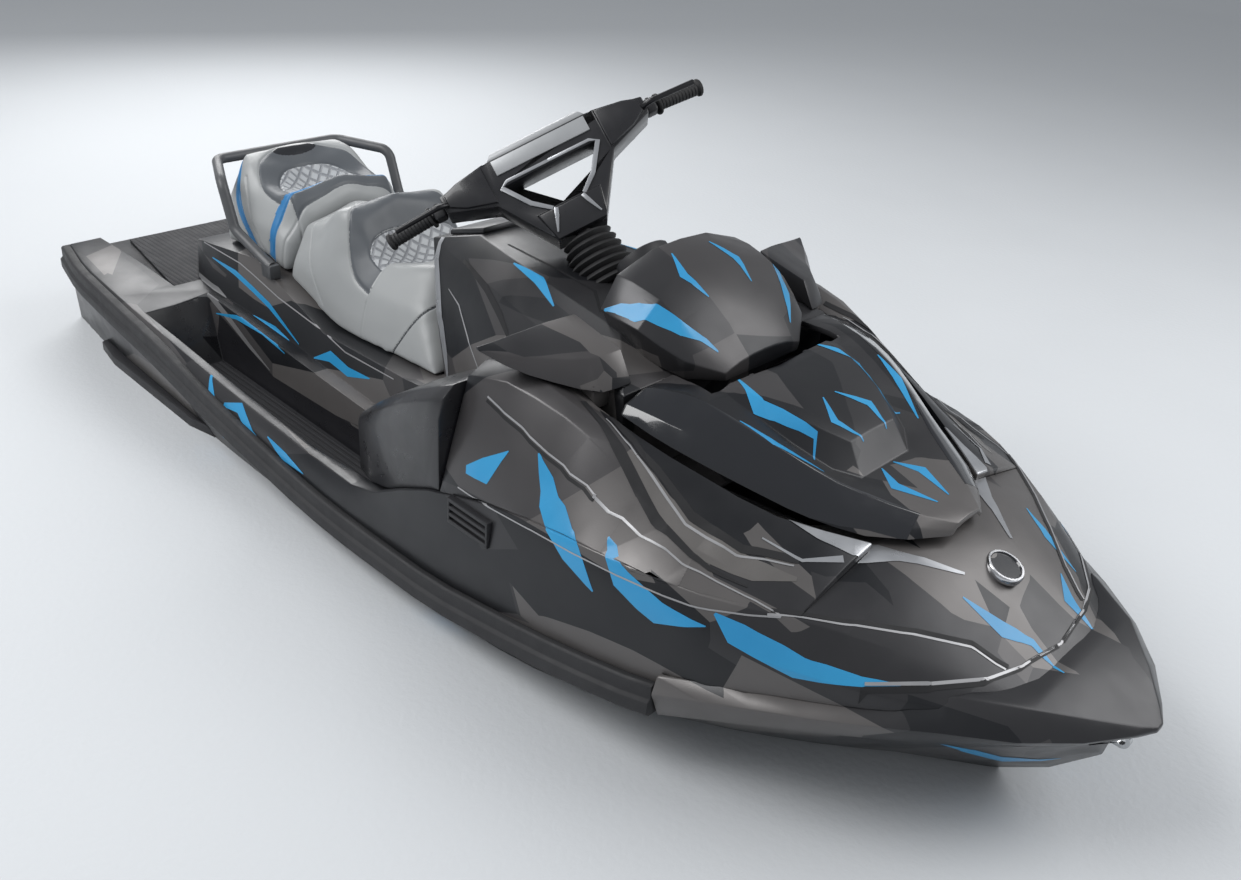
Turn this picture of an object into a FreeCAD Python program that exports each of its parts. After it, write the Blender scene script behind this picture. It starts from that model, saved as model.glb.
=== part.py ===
import FreeCAD, Part
import Sketcher
import math
import os

Vector = FreeCAD.Vector
Rotation = FreeCAD.Rotation
Placement = FreeCAD.Placement

os.makedirs("parts", exist_ok=True)
doc = FreeCAD.newDocument("TouringJetCraft")

# ---------------------------------------------------------------------------
# Sizes of a three-seat jet-drive watercraft, in millimetres and degrees.
# ---------------------------------------------------------------------------
SIZES = (
    ("hull_length", 3374, "stern corner to bow tip"),
    ("beam", 1224, "over the rub rails"),
    ("depth", 1000, "scale of all heights, 1000 is the drawn depth"),
    ("draft", 265, "keel to waterline"),
    ("rail_thickness", 24, "rub rail, outward from the hull side"),
    ("rail_height", 76, "rub rail, top to bottom"),
    ("seam", 0.3, "gap between fitted pieces on one body"),
    ("pin_gap", 0.3, "pins and bars in their bores"),
    ("well_wall", 12, "deck moulding round the footwells"),
    ("floor_height", 325, "footwell floor above the keel"),
    ("well_rear", 640, "footwell floor, rear end from the stern"),
    ("well_front", 1790, "footwell floor, front end from the stern"),
    ("mat_thickness", 8, "foam traction mats"),
    ("mat_inset", 14, "mat edge from the floor's edge"),
    ("platform_height", 492, "rear platform above the keel"),
    ("platform_length", 520, "rear platform, stern to seat"),
    ("platform_half", 385, "rear platform, half its width"),
    ("hood_skin", 14, "front cover moulding"),
    ("hood_hinge_x", 2462, "hood hinge from the stern"),
    ("hood_hinge_z", 872, "hood hinge above the keel"),
    ("hinge_pin", 5, "hood hinge pin, radius"),
    ("bin_wall", 8, "storage tub moulding"),
    ("bin_floor", 470, "storage tub floor above the keel"),
    ("bin_rim", 704, "storage tub rim above the keel"),
    ("bin_rear", 2492, "storage tub, rear end from the stern"),
    ("bin_waist", 2700, "storage tub, where its sides turn in"),
    ("bin_front", 2805, "storage tub, front end from the stern"),
    ("bin_rear_half", 205, "storage tub, half width at the rear"),
    ("bin_waist_half", 178, "storage tub, half width at the waist"),
    ("bin_front_half", 105, "storage tub, half width in front"),
    ("engine_length", 620, "engine block"),
    ("engine_width", 360, "engine block"),
    ("engine_height", 380, "engine block"),
    ("engine_x", 1180, "engine block, rear face from the stern"),
    ("engine_floor", 120, "engine bed above the keel"),
    ("bay_margin", 40, "engine bay round the block"),
    ("pump_radius", 86, "jet pump housing outside"),
    ("pump_wall", 9, "jet pump housing"),
    ("pump_z", 150, "jet axis above the keel"),
    ("tunnel_gap", 38, "pump housing to the tunnel's side"),
    ("tunnel_head", 14, "pump housing to the tunnel's roof"),
    ("tunnel_length", 760, "tunnel, from the stern"),
    ("gate_room", 330, "tall rear end of the tunnel"),
    ("gate_head", 235, "roof of the tall end above the jet axis"),
    ("venturi_end", 236, "outlet of the pump from the stern"),
    ("venturi_radius", 40, "outlet of the pump, outside"),
    ("flange_x", 500, "pump flange from the stern"),
    ("flange_thick", 16, "pump flange"),
    ("arm_gap", 2, "trim arms outside the pump housing"),
    ("arm_thick", 12, "trim arms"),
    ("arm_half", 12, "trim arms, half their height"),
    ("trim_x", 190, "trim and steering pivot from the stern"),
    ("trim_pin", 5, "trim and steering pins, radius"),
    ("ring_inner", 73, "trim ring, inner radius"),
    ("ring_wall", 8, "trim ring"),
    ("ring_half", 14, "trim ring, half its length"),
    ("nozzle_rear", 120, "steering nozzle outlet from the stern"),
    ("nozzle_front", 212, "steering nozzle inlet from the stern"),
    ("nozzle_radius", 52, "steering nozzle outside, at its outlet"),
    ("nozzle_mouth", 64, "steering nozzle outside, at its inlet"),
    ("nozzle_wall", 6, "steering nozzle"),
    ("gate_x", 252, "reverse gate pivot from the stern"),
    ("gate_pin", 6, "reverse gate pins, radius"),
    ("gate_radius", 165, "reverse gate, inside of the bucket"),
    ("gate_wall", 8, "reverse gate bucket"),
    ("gate_cheek", 7, "reverse gate side plates"),
    ("gate_clear", 8, "reverse gate to the tunnel's side"),
    ("gate_boss", 13, "reverse gate bosses, radius"),
    ("hub_radius", 26, "impeller hub"),
    ("impeller_rear", 400, "impeller blades, rear from the stern"),
    ("impeller_length", 75, "impeller blades"),
    ("blade_gap", 2, "blade tips to the pump bore"),
    ("blade_thick", 7, "impeller blades at the hub"),
    ("stator_radius", 24, "stator hub behind the impeller"),
    ("vane_thick", 5, "stator vanes"),
    ("shaft_radius", 13, "drive shaft"),
    ("plate_gap", 4, "pump housing to the ride plate"),
    ("plate_thick", 10, "ride plate"),
    ("plate_rear", 60, "ride plate, rear end from the stern"),
    ("plate_front", 470, "ride plate, front end from the stern"),
    ("plate_rib", 14, "ribs under the ride plate"),
    ("grate_rear", 480, "intake grate, rear end from the stern"),
    ("grate_thick", 13, "intake grate"),
    ("grate_bar", 8, "intake grate bars"),
    ("grate_pitch", 36, "intake grate, from bar to bar"),
    ("bar_x", 1721, "middle of the handlebar from the stern"),
    ("bar_z", 1146, "middle of the handlebar above the keel"),
    ("bar_radius", 11, "handlebar tube"),
    ("bar_half_span", 412, "middle of the bar to a grip end"),
    ("bar_turn", -37, "steering held to starboard"),
    ("bar_sweep", 30, "grip ends aft of the bar's middle"),
    ("steering_tilt", 46, "steering column leans aft of upright"),
    ("column_radius", 21, "steering column tube"),
    ("column_seat", 56, "steering column, length inside the console"),
    ("console_top", 945, "top of the console above the keel"),
    ("cover_half", 44, "handlebar cover, half its thickness"),
    ("cover_end", 262, "middle of the bar to the end of its cover"),
    ("cover_drop", 195, "handlebar cover below the bar"),
    ("cover_shroud", 8, "cover ends, thicker on each face"),
    ("boot_gap", 7, "steering boot below the cover"),
    ("pad_thick", 18, "handlebar pad"),
    ("nozzle_turn", 21.5, "jet nozzle at that steering angle"),
    ("grip_radius", 17, "handlebar grip"),
    ("grip_flange", 8, "grip flange beyond the grip"),
    ("grip_cap", 4, "grip end beyond the grip"),
    ("lid_length", 136, "glove box lid"),
    ("lid_half", 82, "glove box lid, half its width"),
    ("lid_thick", 14, "glove box lid"),
    ("lid_edge", 12, "glove box lid over the pocket's edge"),
    ("glove_depth", 100, "glove box pocket"),
    ("eye_thick", 12, "eyes for lines"),
    ("eye_bore", 9, "radius of the hole in the stern and bow eyes"),
    ("tow_eye_bore", 11, "radius of the hole in the tow eye"),
    ("handle_radius", 15, "passenger grab handle tube"),
    ("step_radius", 11, "boarding step tube"),
    ("step_pin", 5, "boarding step pins, radius"),
    ("step_half", 160, "boarding step, half its width"),
    ("step_height", 115, "boarding step, pivot to cross bar"),
)
sheet = doc.addObject("Spreadsheet::Sheet", "Sizes")
for row, (alias, value, note) in enumerate(SIZES, start=1):
    sheet.set("A%d" % row, note)
    sheet.set("B%d" % row, str(value))
    sheet.setAlias("B%d" % row, alias)
doc.recompute()


def size(alias):
    return float(sheet.get(alias))


# Hull lines are drawn for this length and beam, and stretch with the sheet.
DRAWN_LENGTH = 3374.0
DRAWN_BEAM = 1224.0
DRAWN_DEPTH = 1000.0
length_ratio = size("hull_length") / DRAWN_LENGTH
beam_ratio = size("beam") / DRAWN_BEAM
depth_ratio = size("depth") / DRAWN_DEPTH


def along(x):
    """Distance from the stern to the craft's own x, with zero amidships."""
    return x * length_ratio - size("hull_length") / 2


def across(y):
    return y * beam_ratio


def above(z):
    """Height above the keel to height above the waterline."""
    return z * depth_ratio - size("draft")


def at(x, y, z):
    return Vector(along(x), across(y), above(z))


def along_rule(rule):
    return "(%s) * Sizes.hull_length / %g - Sizes.hull_length / 2" % (rule, DRAWN_LENGTH)


def across_rule(rule):
    return "(%s) * Sizes.beam / %g" % (rule, DRAWN_BEAM)


def above_rule(rule):
    return "(%s) * Sizes.depth / %g - Sizes.draft" % (rule, DRAWN_DEPTH)


SIDES = (("left", 1), ("right", -1))
nodes = {}

# ---------------------------------------------------------------------------
# Sketched pieces: each body's outlines follow the sheet.
# ---------------------------------------------------------------------------


def new_body(name, place=Placement()):
    body = doc.addObject("PartDesign::Body", name)
    body.Label = name
    body.Placement = place
    nodes[name] = body
    return body


def origin_item(body, role):
    return next(item for item in body.Origin.OriginFeatures if item.Role == role)


def sketch_on(body, role, lift="0", spin=0.0):
    """Sketch on one of the body's own planes, lifted along its normal and spun in it."""
    sketch = body.newObject("Sketcher::SketchObject", body.Name + "_outline")
    sketch.AttachmentSupport = [(origin_item(body, role), "")]
    sketch.MapMode = "FlatFace"
    sketch.AttachmentOffset = Placement(Vector(), Rotation(Vector(0, 0, 1), spin))
    sketch.setExpression("AttachmentOffset.Base.z", lift)
    return sketch


def bind(sketch, constraint, rule):
    index = sketch.addConstraint(constraint)
    sketch.setExpression("Constraints[%d]" % index, rule)


def add_outline(sketch, corners):
    """Closed outline whose corners are pairs of sheet formulas from the origin."""
    first = sketch.GeometryCount
    count = len(corners)
    turns = [2 * math.pi * index / count for index in range(count)]
    start = [Vector(50 * math.cos(turn), 50 * math.sin(turn), 0) for turn in turns]
    for index in range(count):
        sketch.addGeometry(Part.LineSegment(start[index], start[(index + 1) % count]))
    for index in range(count):
        sketch.addConstraint(Sketcher.Constraint("Coincident", first + index, 2,
                                                 first + (index + 1) % count, 1))
    for index, (right, up) in enumerate(corners):
        bind(sketch, Sketcher.Constraint("DistanceX", first + index, 1, start[index].x), right)
        bind(sketch, Sketcher.Constraint("DistanceY", first + index, 1, start[index].y), up)


def add_box(sketch, left, right, low, high):
    add_outline(sketch, ((left, low), (right, low), (right, high), (left, high)))


def add_circle(sketch, radius, right="0", up="0"):
    index = sketch.addGeometry(Part.Circle(Vector(1, 1, 0), Vector(0, 0, 1), 5))
    bind(sketch, Sketcher.Constraint("DistanceX", index, 3, 1), right)
    bind(sketch, Sketcher.Constraint("DistanceY", index, 3, 1), up)
    bind(sketch, Sketcher.Constraint("Radius", index, 5), radius)


def extruded(kind, sketch, length, both=False, back=False):
    body = sketch.getParentGeoFeatureGroup()
    item = body.newObject("PartDesign::" + kind, body.Name + "_" + kind.lower())
    item.Profile = sketch
    item.SideType = "Symmetric" if both else "One side"
    item.Reversed = back
    item.setExpression("Length", length)
    return item


def turned_about(kind, sketch, axis="H_Axis", angle=360):
    body = sketch.getParentGeoFeatureGroup()
    item = body.newObject("PartDesign::" + kind, body.Name + "_" + kind.lower())
    item.Profile = sketch
    item.ReferenceAxis = (sketch, [axis])
    item.Angle = angle
    return item


def repeat_round(item, role, count):
    """Even copies of a feature once round one of the body's axes."""
    body = item.getParentGeoFeatureGroup()
    doc.recompute()
    pattern = body.newObject("PartDesign::PolarPattern", body.Name + "_round")
    pattern.Originals = [item]
    pattern.Axis = (origin_item(body, role), [""])
    pattern.Angle = 360
    pattern.Occurrences = count
    body.Tip = pattern
    return pattern


def chamfer_edges(item, length, chosen):
    """Chamfer on the edges of a feature that the test chooses."""
    body = item.getParentGeoFeatureGroup()
    doc.recompute()
    names = ["Edge%d" % number for number, edge in enumerate(item.Shape.Edges, start=1)
             if chosen(edge)]
    chamfer = body.newObject("PartDesign::Chamfer", body.Name + "_chamfer")
    chamfer.Base = (item, names)
    chamfer.Size = length
    return chamfer


# ---------------------------------------------------------------------------
# Faired mouldings: lofts over stations, with flat panels between them.
# ---------------------------------------------------------------------------


def feature(name, shape):
    """A free-form moulding that no primitive or sketch gives."""
    piece = doc.addObject("Part::Feature", name)
    piece.Label = name
    piece.Shape = shape
    nodes[name] = piece
    return piece


def slopes(places, values):
    """Slopes for a curve that meets each value and never swings past one."""
    steps = [after - before for before, after in zip(places, places[1:])]
    rises = [(after - before) / step for before, after, step in zip(values, values[1:], steps)]
    result = [rises[0]]
    for index in range(1, len(rises)):
        before, after = rises[index - 1], rises[index]
        if before * after <= 0:
            result.append(0.0)
        else:
            first = 2 * steps[index] + steps[index - 1]
            second = steps[index] + 2 * steps[index - 1]
            result.append((first + second) / (first / before + second / after))
    return result + [rises[-1]]


def fair(stations, spacing, knuckles=()):
    """The drawn stations with more between them on fair curves, broken at the knuckles."""
    for knuckle in knuckles:
        index = [station[0] for station in stations].index(knuckle)
        if 0 < index < len(stations) - 1:
            others = [other for other in knuckles if other != knuckle]
            head = fair(stations[:index + 1], spacing, [k for k in others if k < knuckle])
            tail = fair(stations[index:], spacing, [k for k in others if k > knuckle])
            return head + tail[1:]
    columns = list(zip(*stations))
    places = columns[0]
    rates = [slopes(places, column) for column in columns]
    result = [tuple(stations[0])]
    for index in range(len(places) - 1):
        step = places[index + 1] - places[index]
        parts = max(1, round(abs(step) / spacing))
        for part in range(1, parts + 1):
            t = part / parts
            result.append(tuple(
                (2 * t ** 3 - 3 * t ** 2 + 1) * column[index]
                + (t ** 3 - 2 * t ** 2 + t) * step * rate[index]
                + (3 * t ** 2 - 2 * t ** 3) * column[index + 1]
                + (t ** 3 - t ** 2) * step * rate[index + 1]
                for column, rate in zip(columns, rates)))
    return result


def polygon(points):
    return Part.makePolygon(list(points) + [points[0]])


def same_place(first, second):
    return (first - second).Length < 1e-4


def panel(corners):
    """Flat face, or none where the corners fall in line."""
    kept = [corner for index, corner in enumerate(corners)
            if not same_place(corner, corners[index - 1])]
    if len(kept) < 3 or (kept[1] - kept[0]).cross(kept[2] - kept[0]).Length < 1e-3:
        return []
    return [Part.Face(polygon(kept))]


def loft(sections):
    """Solid over closed sections; a twisted panel is folded on its shorter diagonal."""
    faces = panel(sections[0]) + panel(sections[-1])
    for low, high in zip(sections, sections[1:]):
        for index in range(len(low)):
            after = (index + 1) % len(low)
            a, b, c, d = low[index], low[after], high[after], high[index]
            normal = (b - a).cross(c - a)
            if normal.Length > 1e-6 and abs((d - a).dot(normal)) / normal.Length < 1e-5:
                faces += panel([a, b, c, d])
            elif (c - a).Length <= (d - b).Length:
                faces += panel([a, b, c]) + panel([a, c, d])
            else:
                faces += panel([a, b, d]) + panel([b, c, d])
    shell = Part.makeShell(faces)
    shell.sewShape()
    solid = Part.makeSolid(Part.Shell(shell.Faces))
    if solid.Volume < 0:
        solid.reverse()
    return solid


def mirrored(half):
    """Full closed section from a half one, given from keel to centre line."""
    other = [Vector(p.x, -p.y, p.z) for p in reversed(half) if abs(p.y) > 1e-6]
    return half + other


def prism(outline, z_low, z_high):
    """Upright prism over plan points (x from the stern, y)."""
    low = [at(x, y, z_low) for x, y in outline]
    face = Part.Face(polygon(low))
    return face.extrude(Vector(0, 0, above(z_high) - above(z_low)))


def plan_box(x_low, x_high, y_low, y_high, z_low, z_high):
    outline = ((x_low, y_low), (x_high, y_low), (x_high, y_high), (x_low, y_high))
    return prism(outline, z_low, z_high)


def block(x_low, x_high, half_width, z_low, z_high):
    return plan_box(x_low, x_high, -half_width, half_width, z_low, z_high)


def largest(shape):
    return max(shape.Solids, key=lambda solid: solid.Volume)


# ---------------------------------------------------------------------------
# Hull and deck: one faired body, parted at the sheer under the rub rail.
# ---------------------------------------------------------------------------
STATION_SPACING = 95
# x, keel z, chine y, chine z, turn y, turn z, sheer y, sheer z
HULL_LINES = (
    (28, 0, 452, 165, 488, 230, 498, 478),
    (300, 0, 468, 168, 512, 232, 554, 486),
    (700, 0, 480, 172, 528, 235, 578, 468),
    (1200, 0, 488, 178, 540, 243, 587, 402),
    (1700, 0, 490, 188, 542, 250, 588, 359),
    (2000, 0, 482, 196, 538, 255, 587, 365),
    (2300, 8, 450, 212, 518, 275, 580, 402),
    (2500, 40, 405, 238, 482, 305, 565, 430),
    (2700, 88, 335, 272, 420, 340, 530, 458),
    (2850, 135, 268, 302, 352, 370, 474, 490),
    (3000, 195, 195, 340, 272, 408, 391, 520),
    (3120, 258, 135, 375, 200, 440, 305, 530),
    (3220, 335, 85, 415, 138, 470, 221, 536),
    (3300, 430, 36, 462, 66, 500, 128, 541),
)
# x, waist y, waist z, edge y, edge z, crown y, crown z, centre z, at the same stations
DECK_LINES = (
    (28, 496, 500, 484, 517, 300, 518, 519),
    (300, 552, 507, 536, 522, 300, 522, 523),
    (700, 575, 494, 556, 508, 300, 509, 510),
    (1200, 583, 440, 562, 478, 300, 479, 480),
    (1700, 583, 410, 562, 462, 300, 463, 464),
    (2000, 582, 480, 568, 598, 300, 599, 600),
    (2300, 572, 590, 560, 678, 330, 679, 680),
    (2500, 556, 622, 538, 692, 320, 693, 694),
    (2700, 520, 630, 490, 694, 280, 706, 712),
    (2850, 458, 612, 405, 686, 200, 734, 750),
    (3000, 378, 600, 305, 655, 130, 706, 722),
    (3120, 282, 585, 205, 618, 82, 636, 634),
    (3220, 192, 566, 130, 582, 50, 584, 584),
    (3300, 104, 550, 70, 560, 28, 562, 563),
)
hull_stations = fair(HULL_LINES, STATION_SPACING)
deck_stations = fair(DECK_LINES, STATION_SPACING)


def body_sections():
    for hull, deck in zip(hull_stations, deck_stations):
        x, keel, chine_y, chine_z, turn_y, turn_z, sheer_y, sheer_z = hull
        _, waist_y, waist_z, edge_y, edge_z, crown_y, crown_z, centre_z = deck
        yield mirrored([at(x, 0, keel), at(x, chine_y, chine_z), at(x, turn_y, turn_z),
                        at(x, sheer_y, sheer_z), at(x, waist_y, waist_z),
                        at(x, edge_y, edge_z), at(x, crown_y, crown_z),
                        at(x, 0, centre_z)])


# How far the cutting shape reaches past the craft: at its ends, below and aside.
PAST_ENDS = 200
PAST_KEEL = 400
PAST_SIDE = 900


def below_sheer():
    """Everything under the sheer line, which is straight between stations."""
    rear = -PAST_ENDS
    front = DRAWN_LENGTH + PAST_ENDS
    line = [(rear, hull_stations[0][7])]
    line += [(station[0], station[7]) for station in hull_stations]
    line += [(front, hull_stations[-1][7]), (front, -PAST_KEEL), (rear, -PAST_KEEL)]
    side = polygon([at(x, -PAST_SIDE, z) for x, z in line])
    return Part.Face(side).extrude(Vector(0, 2 * across(PAST_SIDE), 0))


body = loft(list(body_sections()))
under_sheer = below_sheer()
hull_body = largest(body.common(under_sheer))
deck_body = largest(body.cut(under_sheer))

# ---------------------------------------------------------------------------
# Spaces cut from the mouldings: engine bay, pump tunnel, wells, storage.
# ---------------------------------------------------------------------------


def from_stern(x):
    """Place of the drive and the transom fittings, which keep their lengths."""
    return x - size("hull_length") / 2


def room(x_low, x_high, half_width, z_low, z_high):
    """Box-shaped space in the craft's own lengths."""
    return Part.makeBox(x_high - x_low, 2 * half_width, z_high - z_low,
                        Vector(x_low, -half_width, z_low))


bay_floor = above(size("engine_floor"))
bay_rear = along(size("engine_x")) - size("bay_margin")
bay = room(bay_rear, bay_rear + size("engine_length") + 2 * size("bay_margin"),
           size("engine_width") / 2 + size("bay_margin"),
           bay_floor, bay_floor + size("engine_height") + size("bay_margin"))

# The tunnel holds the pump; its rear end is taller, for the reverse gate.
OUTSIDE = 60
jet_z = above(size("pump_z"))
tunnel_half = size("pump_radius") + size("tunnel_gap")
tunnel_roof = jet_z + size("pump_radius") + size("tunnel_head")
tunnel_front = from_stern(size("tunnel_length"))
tunnel_mouth = from_stern(-OUTSIDE)
keel_below = above(-OUTSIDE)
tunnel = room(tunnel_mouth, tunnel_front, tunnel_half, keel_below, tunnel_roof)
tunnel = tunnel.fuse(room(tunnel_mouth, from_stern(size("gate_room")), tunnel_half,
                          keel_below, jet_z + size("gate_head")))

# Slot in the transom, where the boarding step folds up.
STEP_PIVOT_Z = 300
STEP_X = 42
SLOT_DEPTH = 62
SLOT_SIDE = 25
SLOT_BELOW = 110
SLOT_ABOVE = 25
# The slot stops this far inside the tunnel's side and under its roof.
TUNNEL_LAP = 5
ROOF_LAP = 15
step_pivot = Vector(from_stern(STEP_X), 0, above(STEP_PIVOT_Z))
slot_half = size("step_half") + SLOT_SIDE
slot_top = step_pivot.z + size("step_height") + SLOT_ABOVE
slot_front = from_stern(SLOT_DEPTH)
step_slot = room(tunnel_mouth, slot_front, slot_half, step_pivot.z - SLOT_BELOW, slot_top)
step_slot = step_slot.cut(room(tunnel_mouth, slot_front, tunnel_half - TUNNEL_LAP,
                               step_pivot.z - SLOT_BELOW, jet_z + size("gate_head") - ROOF_LAP))

# Footwells: tapered pockets either side of the seat.
FLOOR_Z = size("floor_height")
WELL_TOP = 700
well_rear = size("well_rear")
well_front = size("well_front")
# Corners of the floor: from the rear or the front end of the well, and across.
FLOOR_CORNERS = (("well_rear", 60, 345), ("well_front", -30, 352), ("well_front", -30, 500),
                 ("well_front", -300, 528), ("well_rear", 60, 520))
WELL_FLOOR = [(size(end) + x, y) for end, x, y in FLOOR_CORNERS]
WELL_MOUTH = ((well_rear - 100, 318), (well_front + 120, 322),
              (well_front + 120, 540), (well_front - 240, 552), (well_rear - 60, 548))


def spread(outline, amount):
    """The outline with every point moved out from its middle."""
    middle_x = sum(x for x, _ in outline) / len(outline)
    middle_y = sum(y for _, y in outline) / len(outline)
    return [(x + math.copysign(amount, x - middle_x), y + math.copysign(amount, y - middle_y))
            for x, y in outline]


def footwell(side, wall=0):
    low = [at(x, side * y, FLOOR_Z - wall) for x, y in spread(WELL_FLOOR, wall)]
    high = [at(x, side * y, WELL_TOP) for x, y in spread(WELL_MOUTH, wall)]
    return loft([low, high])


# Storage opening under the hood.
bin_plan = [(size("bin_rear"), size("bin_rear_half")), (size("bin_waist"), size("bin_waist_half")),
            (size("bin_front"), size("bin_front_half"))]
bin_plan += [(x, -y) for x, y in reversed(bin_plan)]
HOOD_ROOM = 120
bin_space = prism(bin_plan, size("bin_floor"), size("bin_rim") + HOOD_ROOM)
platform_space = block(-OUTSIDE, size("platform_length"), size("platform_half"),
                       size("platform_height"), WELL_TOP)

# Bore for the drive shaft, from the tunnel to the engine bay.
BORE_LAP = 5
shaft_bore = Part.makeCylinder(size("shaft_radius") + 2 * size("pin_gap"),
                               bay_rear - tunnel_front + 2 * BORE_LAP,
                               Vector(tunnel_front - BORE_LAP, 0, jet_z), Vector(1, 0, 0))
well_liners = [footwell(side, size("well_wall")) for _, side in SIDES]

hull_shape = hull_body
for space in [bay, tunnel, step_slot, shaft_bore, bin_space] + well_liners:
    hull_shape = hull_shape.cut(space)
# Each pin reaches from the slot's side wall into the step's eye.
PIN_ROOT = 5
EYE_HALF = 11
pin_length = SLOT_SIDE + EYE_HALF + PIN_ROOT
for side in (1, -1):
    root = step_pivot + Vector(0, side * (slot_half + PIN_ROOT), 0)
    hull_shape = hull_shape.fuse(Part.makeCylinder(size("step_pin"), pin_length, root,
                                                   Vector(0, -side, 0)))
feature("hull", largest(hull_shape))

# ---------------------------------------------------------------------------
# Deck with its seat pedestal.
# ---------------------------------------------------------------------------
# x, base y, top y, top z
PEDESTAL_LINES = (
    (500, 318, 285, 636),
    (800, 335, 262, 664),
    (1150, 340, 272, 562),
    (1540, 340, 280, 582),
    (1700, 330, 285, 600),
)
PEDESTAL_ROOT = 20


def pedestal_sections():
    for x, base_y, top_y, top_z in PEDESTAL_LINES:
        yield mirrored([at(x, base_y, FLOOR_Z - PEDESTAL_ROOT), at(x, top_y, top_z)])


pedestal = loft(list(pedestal_sections()))
deck_shape = deck_body.cut(platform_space)
for liner in well_liners:
    deck_shape = deck_shape.fuse(liner.common(hull_body))
deck_shape = deck_shape.fuse(pedestal.cut(under_sheer))
for space in (footwell(1), footwell(-1), bay, tunnel, step_slot, bin_space):
    deck_shape = deck_shape.cut(space)
deck_shape = largest(deck_shape)
feature("deck", deck_shape)

# ---------------------------------------------------------------------------
# Rub rails, a stepped rubber section along each side.
# ---------------------------------------------------------------------------
RAIL_END = (2660, 537, 452)
RAIL_ROOT = -12
RAIL_STEP = 8
RAIL_BEVEL = 5


def rail_line():
    """Sheer points that the rail follows, ending at the bow bumper."""
    for station in hull_stations:
        if station[0] < RAIL_END[0]:
            yield station[0], station[6], station[7]
    yield RAIL_END


def rail(side):
    outer = size("rail_thickness")
    half = size("rail_height") / 2
    ledge = outer - RAIL_STEP
    profile = ((RAIL_ROOT, -half), (ledge, -half), (outer, RAIL_STEP - half), (outer, -2),
               (ledge, RAIL_BEVEL), (ledge, half - RAIL_BEVEL), (ledge - RAIL_BEVEL, half),
               (RAIL_ROOT, half))
    sections = []
    for x, sheer_y, sheer_z in rail_line():
        y = across(sheer_y)
        z = above(sheer_z)
        sections.append([Vector(along(x), side * (y + dy), z + dz) for dy, dz in profile])
    return largest(loft(sections).cut(body))


for side_name, side in SIDES:
    feature("rub_rail_" + side_name, rail(side))

# ---------------------------------------------------------------------------
# Bow bumper: a painted moulding that wraps round the stem.
# ---------------------------------------------------------------------------
BUMPER_SPACING = 75
# x, low y, low z, crease y, crease z, top y, top z
BUMPER_LINES = (
    (2665, 535, 410, 560, 476, 548, 514),
    (2850, 470, 472, 499, 530, 455, 556),
    (3000, 388, 504, 416, 552, 352, 586),
    (3120, 298, 518, 328, 562, 262, 604),
    (3220, 205, 524, 246, 560, 190, 602),
    (3300, 110, 528, 152, 557, 105, 582),
    (3352, 36, 534, 62, 553, 40, 563),
    (3374, 8, 543, 14, 551, 8, 556),
)


def bumper_sections():
    for x, low_y, low_z, crease_y, crease_z, top_y, top_z in fair(BUMPER_LINES, BUMPER_SPACING):
        yield mirrored([at(x, low_y, low_z), at(x, crease_y, crease_z), at(x, top_y, top_z)])


feature("bow_bumper", largest(loft(list(bumper_sections())).cut(body)))

# ---------------------------------------------------------------------------
# Side fairings: the tall panels from the wells to the nose.
# ---------------------------------------------------------------------------
FAIRING_SPACING = 60
FAIRING_BASE = 560
# x, belt y, belt z, ridge y, ridge z, roll y, roll z, inner y, inner z
FAIRING_LINES = (
    (2040, 565, 608, 488, 862, 440, 886, 335, 884),
    (2150, 562, 656, 478, 890, 436, 908, 352, 898),
    (2300, 556, 680, 462, 872, 430, 884, 376, 868),
    (2420, 546, 690, 445, 820, 418, 846, 374, 850),
    (2560, 530, 692, 436, 748, 398, 784, 344, 818),
    (2700, 488, 694, 412, 712, 352, 748, 288, 776),
    (2850, 398, 688, 330, 716, 262, 738, 192, 752),
)


def fairing(side):
    sections = []
    for station in fair(FAIRING_LINES, FAIRING_SPACING):
        x, belt_y, belt_z, ridge_y, ridge_z, roll_y, roll_z, inner_y, inner_z = station
        outline = ((belt_y - 8, FAIRING_BASE), (belt_y, belt_z), (ridge_y, ridge_z),
                   (roll_y, roll_z), (inner_y, inner_z), (inner_y, FAIRING_BASE))
        sections.append([at(x, side * y, z) for y, z in outline])
    return largest(loft(sections).cut(body))


fairings = {}
for side_name, side in SIDES:
    fairings[side] = fairing(side)
    feature("side_fairing_" + side_name, fairings[side])

# ---------------------------------------------------------------------------
# Console between the wells, with the glove box and the steering bore.
# ---------------------------------------------------------------------------
# z, rear x, rear y, middle y, front x, front y
CONSOLE_LEVELS = (
    (440, 1700, 262, 298, 2335, 318),
    (600, 1668, 255, 300, 2335, 322),
    (760, 1565, 205, 292, 2335, 330),
    (890, 1430, 108, 232, 2335, 335),
    (size("console_top"), 1600, 95, 160, 2200, 215),
)
CONSOLE_MIDDLE = 1900


def console_levels():
    for z, rear_x, rear_y, middle_y, front_x, front_y in CONSOLE_LEVELS:
        half = ((rear_x, rear_y), (CONSOLE_MIDDLE, middle_y), (front_x, front_y))
        right = [at(x, -y, z) for x, y in half]
        left = [at(x, y, z) for x, y in reversed(half)]
        yield right + left


# Steering frame: z up the column, x forward and square to it, y to port.
tilt = Rotation(Vector(0, 1, 0), -size("steering_tilt"))
bar_centre = at(size("bar_x"), 0, size("bar_z"))
straight = Placement(bar_centre, tilt)
steering = straight.multiply(Placement(Vector(), Rotation(Vector(0, 0, 1), size("bar_turn"))))
# Length along the column from the bar down to the console's top.
column_reach = (above(size("bar_z")) - above(size("console_top"))) \
    / math.cos(math.radians(size("steering_tilt")))
column_low = -(column_reach + size("column_seat"))
column_bore = size("column_radius") + size("pin_gap")


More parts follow.
